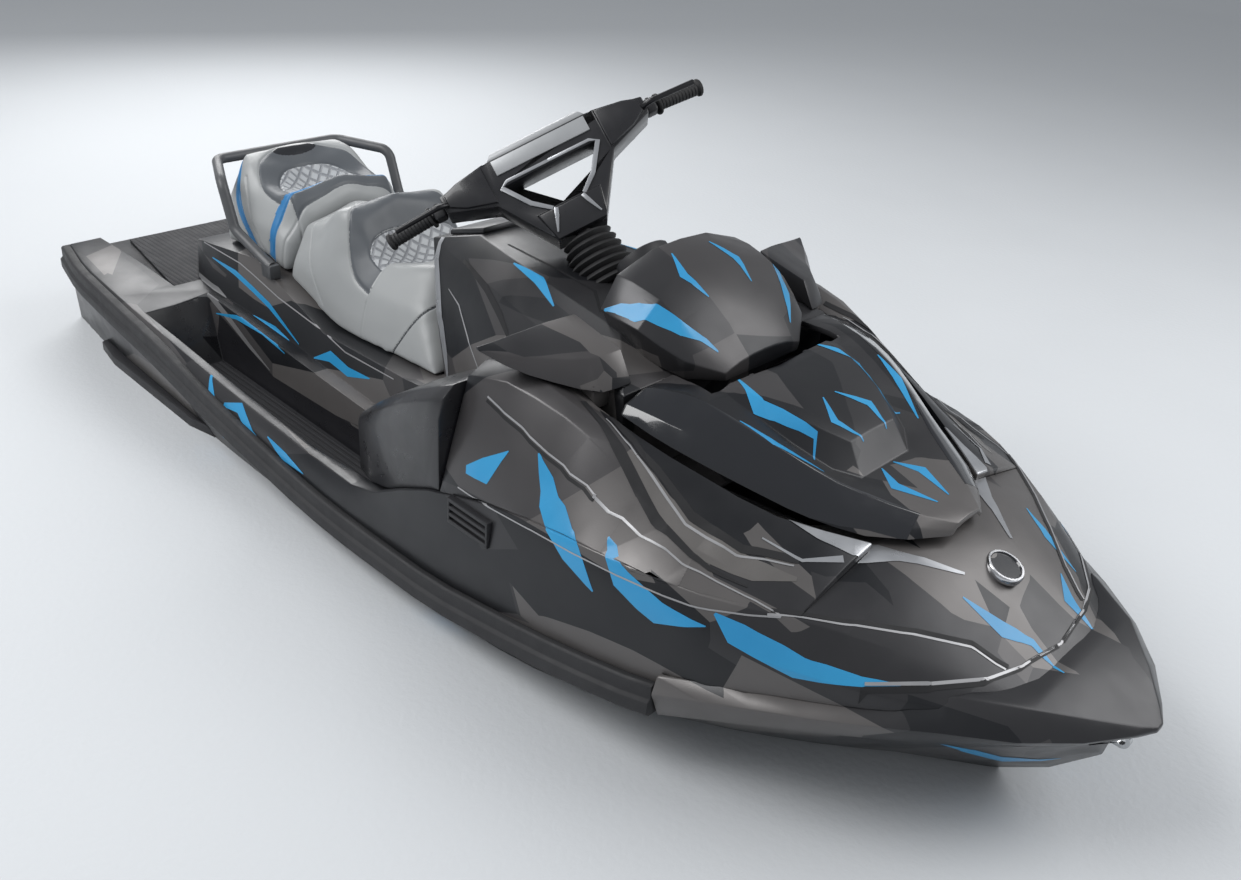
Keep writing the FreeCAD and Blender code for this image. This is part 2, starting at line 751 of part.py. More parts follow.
def column_cylinder(radius, low, high):
    shape = Part.makeCylinder(radius, high - low, Vector(0, 0, low))
    shape.Placement = straight
    return shape


# Glove box: a pocket in the sloping top, closed by a lid hinged in front.
rear_level, top_level = CONSOLE_LEVELS[-2:]
console_slope = math.degrees(math.atan2((top_level[0] - rear_level[0]) * depth_ratio,
                                        (top_level[1] - rear_level[1]) * length_ratio))
LID_FRONT = 1598
lid_frame = Placement(at(LID_FRONT, 0, top_level[0]), Rotation(Vector(0, 1, 0), -console_slope))
lid_edge = size("lid_edge")
COLUMN_END_ROOM = 8

console_shape = loft(list(console_levels()))
console_shape = console_shape.cut(deck_shape).cut(bay)
console_shape = console_shape.cut(column_cylinder(column_bore, column_low - COLUMN_END_ROOM,
                                                  column_reach))
glove_space = Part.makeBox(size("lid_length") - 2 * lid_edge, 2 * (size("lid_half") - lid_edge),
                           size("glove_depth"),
                           Vector(lid_edge - size("lid_length"), lid_edge - size("lid_half"),
                                  -size("glove_depth")))
glove_space.Placement = lid_frame
console_shape = console_shape.cut(glove_space)
feature("console", largest(console_shape))
console_shape = nodes["console"].Shape

lid = new_body("glovebox_lid", lid_frame)
outline = sketch_on(lid, "XY_Plane", "Sizes.seam")
add_box(outline, "-Sizes.lid_length", "0", "-Sizes.lid_half", "Sizes.lid_half")
lid_pad = extruded("Pad", outline, "Sizes.lid_thick")
LID_CHAMFER = 5
lid_top = size("seam") + size("lid_thick")
chamfer_edges(lid_pad, LID_CHAMFER, lambda edge: edge.BoundBox.ZMin > lid_top - 0.01
              and edge.BoundBox.XMin < -1)

# ---------------------------------------------------------------------------
# Windshield and the mirror housings beside it.
# ---------------------------------------------------------------------------
SHIELD_SPACING = 38
SHIELD_CREASE = 2270
# x, base y and z, side y and z, rim y and z, hump y and z, centre z
WINDSHIELD_LINES = (
    (2155, 205, 938, 232, 985, 190, 1050, 84, 1084, 1088),
    (2200, 210, 928, 238, 982, 188, 1048, 80, 1072, 1075),
    (2270, 215, 912, 240, 980, 178, 1032, 72, 1045, 1047),
    (2364, 190, 892, 196, 935, 150, 962, 62, 983, 986),
    (2416, 120, 886, 125, 905, 80, 918, 36, 924, 925),
)


def windshield_sections():
    for station in fair(WINDSHIELD_LINES, SHIELD_SPACING, (SHIELD_CREASE,)):
        x, base_y, base_z, side_y, side_z, rim_y, rim_z, hump_y, hump_z, centre_z = station
        yield mirrored([at(x, base_y, base_z), at(x, side_y, side_z), at(x, rim_y, rim_z),
                        at(x, hump_y, hump_z), at(x, 0, centre_z)])


feature("windshield", largest(loft(list(windshield_sections())).cut(console_shape)))

# Each housing is a wing that runs out to a tip: y, then x and z of the
# glass side's top, the front edge, the lower front edge and the glass side's foot.
MIRROR_LINES = (
    (300, 2150, 990, 2285, 962, 2322, 900, 2192, 888),
    (365, 2136, 985, 2262, 952, 2306, 894, 2168, 892),
    (430, 2124, 976, 2196, 948, 2228, 906, 2140, 906),
    (490, 2112, 967, 2144, 954, 2160, 932, 2116, 936),
    (520, 2105, 963, 2112, 961, 2114, 955, 2106, 956),
)
MIRROR_SPACING = 30
# The stalk under each housing: x, y and z from and to.
STALK = (2196, 2290, 318, 376, 850, 905)


def mirror_housing(side):
    sections = []
    for y, *corners in fair(MIRROR_LINES, MIRROR_SPACING):
        sections.append([at(x, side * y, z) for x, z in zip(corners[::2], corners[1::2])])
    housing = loft(sections)
    x_low, x_high, y_low, y_high, foot, top = STALK
    stalk = plan_box(x_low, x_high, *sorted((side * y_low, side * y_high)), foot, top)
    return largest(housing.fuse(stalk).cut(fairings[side]).cut(console_shape))


for side_name, side in SIDES:
    feature("mirror_housing_" + side_name, mirror_housing(side))

# Instrument pod, a cone whose wide face looks up at the rider.
GAUGE_FACE = 72
GAUGE_BACK = 50
GAUGE_DEPTH = 58
GAUGE_TILT = 52
GAUGE_X = 2040
GAUGE_Z = 985
gauge_pod = Part.makeCone(GAUGE_FACE, GAUGE_BACK, GAUGE_DEPTH)
gauge_pod.Placement = Placement(at(GAUGE_X, 0, GAUGE_Z), Rotation(Vector(0, 1, 0), GAUGE_TILT))
gauge_stem = block(GAUGE_X + 10, GAUGE_X + 60, 30, top_level[0], GAUGE_Z)
gauge_pod = gauge_pod.fuse(gauge_stem).cut(console_shape).cut(nodes["windshield"].Shape)
feature("gauge_pod", largest(gauge_pod))

# ---------------------------------------------------------------------------
# Splash guards at the front of the wells, and the vents behind them.
# ---------------------------------------------------------------------------
GUARD_SPACING = 60
# x, inner y, outer y, low z, high z, shoulder: how far the top is rounded off
GUARD_LINES = (
    (1614, 432, 476, 470, 586, 20),
    (1650, 405, 500, 440, 612, 40),
    (1800, 388, 540, 478, 722, 62),
    (1930, 366, 556, 536, 800, 68),
    (2036, 345, 562, 590, 852, 70),
)


def splash_guard(side):
    sections = []
    for x, inner_y, outer_y, low_z, high_z, round_z in fair(GUARD_LINES, GUARD_SPACING):
        round_y = 0.6 * round_z
        outline = ((inner_y, low_z + 30), (inner_y + 20, low_z), (outer_y, low_z + 16),
                   (outer_y, high_z - round_z), (outer_y - 0.3 * round_y, high_z - 0.35 * round_z),
                   (outer_y - round_y, high_z), (inner_y + 10, high_z))
        sections.append([at(x, side * y, z) for y, z in outline])
    shape = loft(sections).cut(deck_body.cut(footwell(side))).cut(console_shape)
    return largest(shape.cut(fairings[side]))


# Louvred outlet set in the deck's side: x and z from and to, and its outer face.
VENT_X = (2082, 2222)
VENT_Z = (568, 630)
VENT_Y = 581
VENT_ROOT = 40
VENT_TAPER = 6
VENT_FRAME = 12
VENT_SLOT = 10
VENT_CUT = 9
VENT_SLOTS_Z = (577, 594, 611)


def side_vent(side):
    rear, front = VENT_X
    root = side * (VENT_Y - VENT_ROOT)
    face = side * VENT_Y
    plate = prism([(rear, root), (front, root), (front - VENT_TAPER, face),
                   (rear + VENT_TAPER, face)], *VENT_Z)
    cut_y = sorted((side * (VENT_Y - VENT_CUT), side * (VENT_Y + VENT_CUT)))
    for low_z in VENT_SLOTS_Z:
        plate = plate.cut(plan_box(rear + VENT_FRAME, front - VENT_FRAME, *cut_y,
                                   low_z, low_z + VENT_SLOT))
    return largest(plate.cut(body).cut(fairings[side]))


for side_name, side in SIDES:
    feature("splash_guard_" + side_name, splash_guard(side))
for side_name, side in SIDES:
    feature("side_vent_" + side_name, side_vent(side))

# ---------------------------------------------------------------------------
# Hood over the front storage, with its hinge and the tub beneath.
# ---------------------------------------------------------------------------
HOOD_SPACING = 48
HOOD_KNUCKLES = (2700, 2742)
# x, edge y and z, flank y and z, ridge y and z, foot y and z, pod y and z, centre z
HOOD_LINES = (
    (2352, 362, 864, 350, 884, 300, 902, 200, 908, 172, 911, 911),
    (2430, 358, 852, 336, 880, 262, 914, 192, 909, 166, 914, 906),
    (2530, 336, 832, 308, 864, 250, 898, 182, 886, 150, 906, 899),
    (2620, 300, 806, 270, 838, 222, 870, 160, 850, 122, 884, 880),
    (2700, 264, 782, 232, 810, 186, 837, 126, 814, 74, 857, 860),
    (2742, 244, 772, 212, 797, 166, 820, 100, 800, 82, 797, 798),
    (2832, 190, 756, 160, 777, 116, 796, 72, 789, 50, 789, 790),
    (2890, 130, 752, 108, 768, 76, 782, 46, 782, 30, 783, 784),
    (2936, 58, 753, 50, 765, 38, 776, 25, 778, 14, 779, 780),
)
HINGE_X = size("hood_hinge_x")
HINGE_Z = size("hood_hinge_z")
NOTCH_HALF = 215
NOTCH_REAR = 2300
NOTCH_FRONT = HINGE_X - 6
HOOD_ABOVE = 1000
# Lugs of the hood and posts of the hinge: across, then along from the pin, then heights.
POST_Y = (55, 78)
POST_X = (-14, 14)
POST_Z = (680, HINGE_Z + 4)
LUG_Y = (84, 96)
LUG_X = (-10, 22)
LUG_Z = (HINGE_Z - 11, 930)
PIN_PAST = 4


def hood_sections():
    for station in fair(HOOD_LINES, HOOD_SPACING, HOOD_KNUCKLES):
        x, *pairs, centre_z = station
        half = [at(x, y, z) for y, z in zip(pairs[::2], pairs[1::2])]
        yield mirrored(half + [at(x, 0, centre_z)])


def hinge_cylinder(radius, y_low, y_high):
    low = Vector(along(HINGE_X), across(y_low), above(HINGE_Z))
    return Part.makeCylinder(radius, across(y_high) - across(y_low), low, Vector(0, 1, 0))


hood_solid = loft(list(hood_sections()))
hood_shape = hood_solid.cut(hood_solid.translated(Vector(0, 0, -size("hood_skin"))))
hood_shape = hood_shape.cut(block(NOTCH_REAR, NOTCH_FRONT, NOTCH_HALF, WELL_TOP, HOOD_ABOVE))
hinge_shape = hinge_cylinder(size("hinge_pin"), -LUG_Y[1] - PIN_PAST, LUG_Y[1] + PIN_PAST)
for side in (1, -1):
    lug_low, lug_high = sorted(side * y for y in LUG_Y)
    lug = plan_box(HINGE_X + LUG_X[0], HINGE_X + LUG_X[1], lug_low, lug_high, *LUG_Z)
    hood_shape = hood_shape.fuse(lug.common(hood_solid))
    post_low, post_high = sorted(side * y for y in POST_Y)
    post = plan_box(HINGE_X + POST_X[0], HINGE_X + POST_X[1], post_low, post_high, *POST_Z)
    hinge_shape = hinge_shape.fuse(post.cut(body))
hood_shape = hood_shape.cut(hinge_cylinder(size("hinge_pin") + size("pin_gap"), -LUG_Y[1] - 2 * PIN_PAST,
                                           LUG_Y[1] + 2 * PIN_PAST))
feature("hood", largest(hood_shape))
feature("hood_hinge", largest(hinge_shape))


def bin_corners(inset):
    """The tub's plan as formulas, drawn in by an inset that is a formula too."""
    half = [(along_rule("Sizes.bin_rear") + " + " + inset,
             across_rule("Sizes.bin_rear_half") + " - " + inset),
            (along_rule("Sizes.bin_waist"),
             across_rule("Sizes.bin_waist_half") + " - " + inset),
            (along_rule("Sizes.bin_front") + " - " + inset,
             across_rule("Sizes.bin_front_half") + " - " + inset)]
    return half + [(right, "-(%s)" % up) for right, up in reversed(half)]


tub = new_body("storage_tub")
tub_floor = above_rule("Sizes.bin_floor") + " + Sizes.seam"
tub_depth = "(Sizes.bin_rim - Sizes.bin_floor) * Sizes.depth / %g" % DRAWN_DEPTH
outline = sketch_on(tub, "XY_Plane", tub_floor)
add_outline(outline, bin_corners("Sizes.seam"))
extruded("Pad", outline, tub_depth + " - Sizes.seam")
outline = sketch_on(tub, "XY_Plane", above_rule("Sizes.bin_rim"))
add_outline(outline, bin_corners("Sizes.bin_wall"))
extruded("Pocket", outline, tub_depth + " - Sizes.seam - Sizes.bin_wall")

# ---------------------------------------------------------------------------
# Seats: plain upholstered forms on the pedestal.
# ---------------------------------------------------------------------------
SEAT_SPACING = 46
# x, base y, side y, side z, rim y, rim z, centre z
REAR_SEAT = (
    (566, 232, 205, 770, 130, 878, 888),
    (592, 240, 226, 790, 165, 912, 924),
    (655, 242, 234, 780, 178, 892, 850),
    (730, 242, 236, 745, 182, 842, 788),
    (800, 240, 232, 735, 180, 838, 812),
    (848, 238, 226, 735, 172, 862, 894),
    (902, 236, 218, 730, 150, 800, 846),
)
FRONT_SEAT = (
    (908, 236, 220, 690, 170, 790, 834),
    (1005, 236, 222, 700, 178, 812, 816),
    (1075, 238, 224, 715, 178, 872, 878),
    (1120, 238, 220, 720, 168, 884, 908),
    (1175, 240, 212, 710, 160, 828, 790),
    (1250, 240, 200, 700, 138, 770, 736),
    (1345, 238, 190, 705, 112, 790, 776),
    (1412, 236, 178, 715, 90, 800, 800),
)
SEAT_NOSE = 1590


def pedestal_height(x):
    """Height of the pedestal top at a place along the craft."""
    for low, high in zip(PEDESTAL_LINES, PEDESTAL_LINES[1:]):
        if low[0] <= x <= high[0]:
            share = (x - low[0]) / (high[0] - low[0])
            return low[3] + share * (high[3] - low[3])
    raise ValueError("outside the pedestal")


def seat_sections(lines, nose=None):
    """Cross sections; the last one leans forward to its foot when a nose is given."""
    gap = size("seam")
    for x, base_y, side_y, side_z, rim_y, rim_z, centre_z in fair(lines, SEAT_SPACING):
        lean = nose - x if nose is not None and x == lines[-1][0] else 0
        base_z = pedestal_height(x + lean)
        half = []
        for y, z in ((base_y, base_z), (side_y, side_z), (rim_y, rim_z), (0, centre_z)):
            share = (centre_z - z) / (centre_z - base_z)
            half.append(at(x + lean * share, y, z) + Vector(0, 0, gap))
        yield mirrored(half)


lifted_pedestal = pedestal.translated(Vector(0, 0, size("seam")))
rear_seat = loft(list(seat_sections(REAR_SEAT))).cut(lifted_pedestal)
front_seat = loft(list(seat_sections(FRONT_SEAT, SEAT_NOSE))).cut(lifted_pedestal)
front_seat = front_seat.cut(console_shape.translated(Vector(-size("seam"), 0, 0)))
feature("seat_rear", largest(rear_seat))
feature("seat_front", largest(front_seat))


def tube(points, radius, bend):
    """Round bar: straight runs joined by bends of one radius."""
    pieces = []
    start = points[0]
    for before, corner, after in zip(points, points[1:], points[2:]):
        into = (corner - before).normalize()
        out = (after - corner).normalize()
        turn = into.getAngle(out)
        setback = bend * math.tan(turn / 2)
        first = corner - into * setback
        centre = corner + (out - into).normalize() * (bend / math.cos(turn / 2))
        pieces.append(Part.makeCylinder(radius, (first - start).Length, start, into))
        ring = Part.Face(Part.Wire([Part.makeCircle(radius, first, into)]))
        pieces.append(ring.revolve(centre, into.cross(out), math.degrees(turn)))
        start = corner + out * setback
    run = points[-1] - start
    pieces.append(Part.makeCylinder(radius, run.Length, start, run))
    return pieces[0].multiFuse(pieces[1:])


# Grab handle: one bar round the back of the rear seat.
HANDLE_POINTS = ((885, 262, 668), (738, 285, 738), (688, 285, 866), (518, 205, 872))
HANDLE_BEND = 42
HANDLE_FOOT_X = (858, 904)
HANDLE_FOOT_Y = (246, 279)
HANDLE_FOOT_Z = (636, 676)
handle_half = [at(x, y, z) for x, y, z in HANDLE_POINTS]
handle_path = handle_half + [Vector(p.x, -p.y, p.z) for p in reversed(handle_half)]
handle_shape = tube(handle_path, size("handle_radius"), HANDLE_BEND)
for side in (1, -1):
    foot = plan_box(*HANDLE_FOOT_X, *sorted(side * y for y in HANDLE_FOOT_Y), *HANDLE_FOOT_Z)
    handle_shape = handle_shape.fuse(foot)
handle_shape = handle_shape.cut(pedestal).cut(nodes["seat_rear"].Shape)
feature("grab_handle", largest(handle_shape))

# ---------------------------------------------------------------------------
# Foam mats in the wells and on the rear platform.
# ---------------------------------------------------------------------------
middle_x = sum(x for x, _ in WELL_FLOOR) / len(WELL_FLOOR)
middle_y = sum(y for _, y in WELL_FLOOR) / len(WELL_FLOOR)


def mat_corner(side, end, x, y):
    """A corner of the well's floor drawn in by the mat's inset."""
    inward_x = "+" if size(end) + x < middle_x else "-"
    inward_y = "+" if y < middle_y else "-"
    return (along_rule("Sizes.%s + %g %s Sizes.mat_inset" % (end, x, inward_x)),
            "%d * %s" % (side, across_rule("%g %s Sizes.mat_inset" % (y, inward_y))))


for side_name, side in SIDES:
    mat = new_body("floor_mat_" + side_name)
    outline = sketch_on(mat, "XY_Plane", above_rule("Sizes.floor_height"))
    add_outline(outline, [mat_corner(side, *corner) for corner in FLOOR_CORNERS])
    extruded("Pad", outline, "Sizes.mat_thickness")

# The platform's mat: its rear edge from the stern, its front edge from the
# platform's, and how much narrower it is at the rear.
MAT_REAR = 50
MAT_FRONT = 32
MAT_TAPER = 70
mat = new_body("platform_mat")
outline = sketch_on(mat, "XY_Plane", above_rule("Sizes.platform_height"))
mat_rear = along_rule("%g" % MAT_REAR)
mat_front = along_rule("Sizes.platform_length - %g" % MAT_FRONT)
mat_wide = across_rule("Sizes.platform_half - Sizes.mat_inset")
mat_narrow = across_rule("Sizes.platform_half - Sizes.mat_inset - %g" % MAT_TAPER)
add_outline(outline, ((mat_rear, mat_narrow), (mat_front, mat_wide),
                      (mat_front, "-" + mat_wide), (mat_rear, "-" + mat_narrow)))
extruded("Pad", outline, "Sizes.mat_thickness")

# ---------------------------------------------------------------------------
# Sponsons, ride plate and intake grate.
# ---------------------------------------------------------------------------
# x, inner y, outer y
SPONSON_LINES = ((300, 505, 540), (420, 512, 560), (900, 520, 566), (1000, 512, 545))


def sponson(side):
    sections = []
    for x, low_y, high_y in SPONSON_LINES:
        outline = ((low_y - 10, 252), (high_y - 12, 244), (high_y, 262), (high_y, 292), (low_y, 300))
        sections.append([at(x, side * y, z) for y, z in outline])
    return largest(loft(sections).cut(body))


for side_name, side in SIDES:
    feature("sponson_" + side_name, sponson(side))

# The drive is drawn from the stern on the jet axis: x forward, z up from the axis.
jet_frame = Placement(Vector(from_stern(0), 0, jet_z), Rotation())
TUNNEL_FIT = "(Sizes.pump_radius + Sizes.tunnel_gap - Sizes.seam)"
PLATE_LOW = "-(Sizes.pump_radius + Sizes.plate_gap + Sizes.plate_thick)"
RIB_PLACES = (-70, 0, 70)
RIB_HALF = 4
RIB_SETBACK = 15
ride_plate = new_body("ride_plate", jet_frame)
outline = sketch_on(ride_plate, "XY_Plane", PLATE_LOW)
add_box(outline, "Sizes.plate_rear", "Sizes.plate_front", "-" + TUNNEL_FIT, TUNNEL_FIT)
extruded("Pad", outline, "Sizes.plate_thick")
outline = sketch_on(ride_plate, "XY_Plane", PLATE_LOW + " - Sizes.plate_rib")
for y in RIB_PLACES:
    add_box(outline, "Sizes.plate_rear + %g" % RIB_SETBACK, "Sizes.plate_front - %g" % RIB_SETBACK,
            "%g" % (y - RIB_HALF), "%g" % (y + RIB_HALF))
extruded("Pad", outline, "Sizes.plate_rib + 1")

grate = new_body("intake_grate", jet_frame)
grate_end = "(Sizes.tunnel_length - Sizes.seam)"
outline = sketch_on(grate, "XY_Plane", PLATE_LOW)
add_box(outline, "Sizes.grate_rear", "Sizes.grate_rear + 2 * Sizes.grate_bar",
        "-" + TUNNEL_FIT, TUNNEL_FIT)
add_box(outline, grate_end + " - 2 * Sizes.grate_bar", grate_end, "-" + TUNNEL_FIT, TUNNEL_FIT)
extruded("Pad", outline, "Sizes.grate_thick")
outline = sketch_on(grate, "XY_Plane", PLATE_LOW)
for place in (-2.5, -1.5, -0.5, 0.5, 1.5, 2.5):
    middle = "%g * Sizes.grate_pitch" % place
    add_box(outline, "Sizes.grate_rear + 1", grate_end + " - 1",
            middle + " - Sizes.grate_bar / 2", middle + " + Sizes.grate_bar / 2")
extruded("Pad", outline, "Sizes.grate_thick")

# ---------------------------------------------------------------------------
# Jet pump: housing with its stator, impeller on its shaft, trim ring, nozzle.
# ---------------------------------------------------------------------------
BORE = "(Sizes.pump_radius - Sizes.pump_wall)"
ARM_INNER = "(Sizes.pump_radius + Sizes.arm_gap)"
THROAT_X = 340
VENTURI_WALL = 7
ARM_END = 18
STATOR_X = (292, 304, 322, 354)
VANE_X = (306, 352)
VANES = 5

pump = new_body("pump_housing", jet_frame)
outline = sketch_on(pump, "XZ_Plane")
flange_front = "Sizes.flange_x + Sizes.flange_thick"
add_outline(outline, (("Sizes.venturi_end", "Sizes.venturi_radius"),
                      ("%g" % THROAT_X, "Sizes.pump_radius"), (flange_front, "Sizes.pump_radius"),
                      (flange_front, BORE), ("%g + 5" % THROAT_X, BORE),
                      ("Sizes.venturi_end", "Sizes.venturi_radius - %g" % VENTURI_WALL)))
turned_about("Revolution", outline)
outline = sketch_on(pump, "YZ_Plane", "Sizes.flange_x")
add_box(outline, "-" + TUNNEL_FIT, TUNNEL_FIT, PLATE_LOW + " + Sizes.grate_thick",
        "Sizes.pump_radius + Sizes.tunnel_head - Sizes.seam")
add_circle(outline, BORE + " + 1")
extruded("Pad", outline, "Sizes.flange_thick")
outline = sketch_on(pump, "XY_Plane")
for low, high in ((ARM_INNER, ARM_INNER + " + Sizes.arm_thick"),
                  ("-%s - Sizes.arm_thick" % ARM_INNER, "-" + ARM_INNER)):
    add_box(outline, "Sizes.trim_x - %g" % ARM_END, "Sizes.flange_x + 2", low, high)
extruded("Pad", outline, "2 * Sizes.arm_half", both=True)
outline = sketch_on(pump, "XZ_Plane")
add_circle(outline, "Sizes.trim_pin + Sizes.pin_gap", "Sizes.trim_x")
extruded("Pocket", outline, "3 * Sizes.pump_radius", both=True)
pin_root = "(%s + Sizes.arm_thick - 4)" % ARM_INNER
pin_reach = "Sizes.tunnel_gap - Sizes.arm_gap - Sizes.arm_thick + 4 - Sizes.gate_clear"
for lift, back in ((pin_root, False), ("-" + pin_root, True)):
    outline = sketch_on(pump, "XZ_Plane", lift)
    add_circle(outline, "Sizes.gate_pin", "Sizes.gate_x")
    extruded("Pad", outline, pin_reach, back=back)
# Stator: a hub held by vanes that reach halfway into the housing's wall.
outline = sketch_on(pump, "XZ_Plane")
add_outline(outline, (("%g" % STATOR_X[0], "0"), ("%g" % STATOR_X[1], "Sizes.stator_radius * 0.6"),
                      ("%g" % STATOR_X[2], "Sizes.stator_radius"),
                      ("%g" % STATOR_X[3], "Sizes.stator_radius"), ("%g" % STATOR_X[3], "0")))
stator_hub = turned_about("Revolution", outline)


def wall_middle(x):
    """Radius halfway through the wall of the tapering venturi."""
    share = "(%g - Sizes.venturi_end) / (%g - Sizes.venturi_end)" % (x, THROAT_X)
    start = "(Sizes.venturi_radius - %g)" % (VENTURI_WALL / 2)
    return "%s + (Sizes.pump_radius - Sizes.pump_wall / 2 - %s) * %s" % (start, start, share)


outline = sketch_on(pump, "XZ_Plane")
vane_root = "Sizes.stator_radius / 2"
add_outline(outline, (("%g" % VANE_X[0], vane_root), ("%g" % VANE_X[1], vane_root),
                      ("%g" % VANE_X[1], "Sizes.pump_radius - Sizes.pump_wall / 2"),
                      ("%g" % THROAT_X, wall_middle(THROAT_X)),
                      ("%g" % VANE_X[0], wall_middle(VANE_X[0]))))
vane = extruded("Pad", outline, "Sizes.vane_thick", both=True)
repeat_round(vane, "X_Axis", VANES)

# Impeller: a hub with blades that twist as they run back.
BLADES = 4
# Share of the blade's length, and how far it has turned there.
BLADE_SECTIONS = ((0.0, -36), (0.25, -18), (0.5, 0), (0.75, 18), (1.0, 36))
CONE_LENGTH = 35
CONE_TIP = 10
BLADE_SETBACK = 2
impeller = new_body("impeller", jet_frame)
impeller_front = "(Sizes.impeller_rear + Sizes.impeller_length)"
outline = sketch_on(impeller, "XZ_Plane")
hub_rear = "Sizes.impeller_rear - 5"
cone_end = "%s - %g" % (hub_rear, CONE_LENGTH)
add_outline(outline, ((cone_end, "0"), (cone_end, "%g" % CONE_TIP), (hub_rear, "Sizes.hub_radius"),
                      (impeller_front, "Sizes.hub_radius"), (impeller_front, "0")))
turned_about("Revolution", outline)
blade_sections = []
for share, spin in BLADE_SECTIONS:
    place = "Sizes.impeller_rear + %g + %g * (Sizes.impeller_length - %g)" % (
        BLADE_SETBACK, share, 2 * BLADE_SETBACK)
    outline = sketch_on(impeller, "YZ_Plane", place, spin)
    add_outline(outline, (("-Sizes.blade_thick / 2", "Sizes.hub_radius * 0.7"),
                          ("Sizes.blade_thick / 2", "Sizes.hub_radius * 0.7"),
                          ("Sizes.blade_thick / 3", BORE + " - Sizes.blade_gap"),
                          ("-Sizes.blade_thick / 3", BORE + " - Sizes.blade_gap")))
    blade_sections.append(outline)
doc.recompute()
blade = impeller.newObject("PartDesign::AdditiveLoft", "impeller_blade")
blade.Profile = blade_sections[0]
blade.Sections = blade_sections[1:]
repeat_round(blade, "X_Axis", BLADES)

shaft = doc.addObject("Part::Cylinder", "drive_shaft")
shaft.Label = "drive_shaft"
shaft_start = from_stern(size("impeller_rear") + size("impeller_length")) + size("seam")
shaft.Placement = Placement(Vector(shaft_start, 0, jet_z), Rotation(Vector(0, 1, 0), 90))
shaft.setExpression("Radius", "Sizes.shaft_radius")
shaft.setExpression("Height", "%s + Sizes.hull_length / 2 - Sizes.impeller_rear"
                    " - Sizes.impeller_length - 2 * Sizes.seam" % along_rule("Sizes.engine_x"))
nodes["drive_shaft"] = shaft

# Ring and nozzle are drawn about the pivot that they share.
pivot_frame = Placement(Vector(from_stern(size("trim_x")), 0, jet_z), Rotation())
RING_OUTER = "(Sizes.ring_inner + Sizes.ring_wall)"
ring = new_body("trim_ring", pivot_frame)
outline = sketch_on(ring, "XZ_Plane")
add_circle(outline, "Sizes.trim_pin")
extruded("Pad", outline, "2 * (%s + Sizes.arm_thick - 1)" % ARM_INNER, both=True)
outline = sketch_on(ring, "YZ_Plane")
add_circle(outline, RING_OUTER)
extruded("Pad", outline, "2 * Sizes.ring_half", both=True)
outline = sketch_on(ring, "YZ_Plane")
add_circle(outline, "Sizes.ring_inner")
extruded("Pocket", outline, "4 * Sizes.ring_half", both=True)
outline = sketch_on(ring, "XY_Plane")
add_circle(outline, "Sizes.trim_pin + Sizes.pin_gap")
extruded("Pocket", outline, "3 * " + RING_OUTER, both=True)

nozzle_place = pivot_frame.multiply(Placement(Vector(), Rotation(Vector(0, 0, 1),
                                                                 size("nozzle_turn"))))
nozzle = new_body("steering_nozzle", nozzle_place)
nozzle_rear = "(Sizes.nozzle_rear - Sizes.trim_x)"
nozzle_front = "(Sizes.nozzle_front - Sizes.trim_x)"
outline = sketch_on(nozzle, "XZ_Plane")
add_outline(outline, ((nozzle_rear, "0"), (nozzle_rear, "Sizes.nozzle_radius"),
                      (nozzle_front, "Sizes.nozzle_mouth"), (nozzle_front, "0")))
turned_about("Revolution", outline)
outline = sketch_on(nozzle, "XY_Plane")
add_circle(outline, "Sizes.trim_pin")
extruded("Pad", outline, "2 * " + RING_OUTER, both=True)
outline = sketch_on(nozzle, "XZ_Plane")
add_outline(outline, ((nozzle_rear + " - 1", "0"),
                      (nozzle_rear + " - 1", "Sizes.nozzle_radius - Sizes.nozzle_wall"),
                      (nozzle_front + " + 1", "Sizes.nozzle_mouth - Sizes.nozzle_wall"),
                      (nozzle_front + " + 1", "0")))
turned_about("Groove", outline)

# The gate is a curved bucket on two arms; it is carried raised over the nozzle.
GATE_START = 26
GATE_SWEEP = 60
GATE_HALF = "(Sizes.pump_radius + Sizes.tunnel_gap - Sizes.gate_clear)"
gate_place = Placement(Vector(from_stern(size("gate_x")), 0, jet_z),
                       Rotation(Vector(0, 1, 0), GATE_START))
gate = new_body("reverse_gate", gate_place)
outline = sketch_on(gate, "XY_Plane")
gate_outside = "-(Sizes.gate_radius + Sizes.gate_wall)"
cheek_end = "-Sizes.gate_boss + 1"
add_outline(outline, ((gate_outside, "-" + GATE_HALF), (cheek_end, "-" + GATE_HALF),
                      (cheek_end, "-%s + Sizes.gate_cheek" % GATE_HALF),
                      ("-Sizes.gate_radius", "-%s + Sizes.gate_cheek" % GATE_HALF),
                      ("-Sizes.gate_radius", GATE_HALF + " - Sizes.gate_cheek"),
                      (cheek_end, GATE_HALF + " - Sizes.gate_cheek"),
                      (cheek_end, GATE_HALF), (gate_outside, GATE_HALF)))
turned_about("Revolution", outline, "V_Axis", GATE_SWEEP)
outline = sketch_on(gate, "XZ_Plane")
add_circle(outline, "Sizes.gate_boss")
extruded("Pad", outline, "2 * " + GATE_HALF, both=True)
outline = sketch_on(gate, "XZ_Plane")
add_circle(outline, "Sizes.gate_boss + 1")
extruded("Pocket", outline, "2 * (%s - Sizes.gate_cheek)" % GATE_HALF, both=True)
outline = sketch_on(gate, "XZ_Plane")
add_circle(outline, "Sizes.gate_pin + Sizes.pin_gap")
extruded("Pocket", outline, "3 * " + GATE_HALF, both=True)

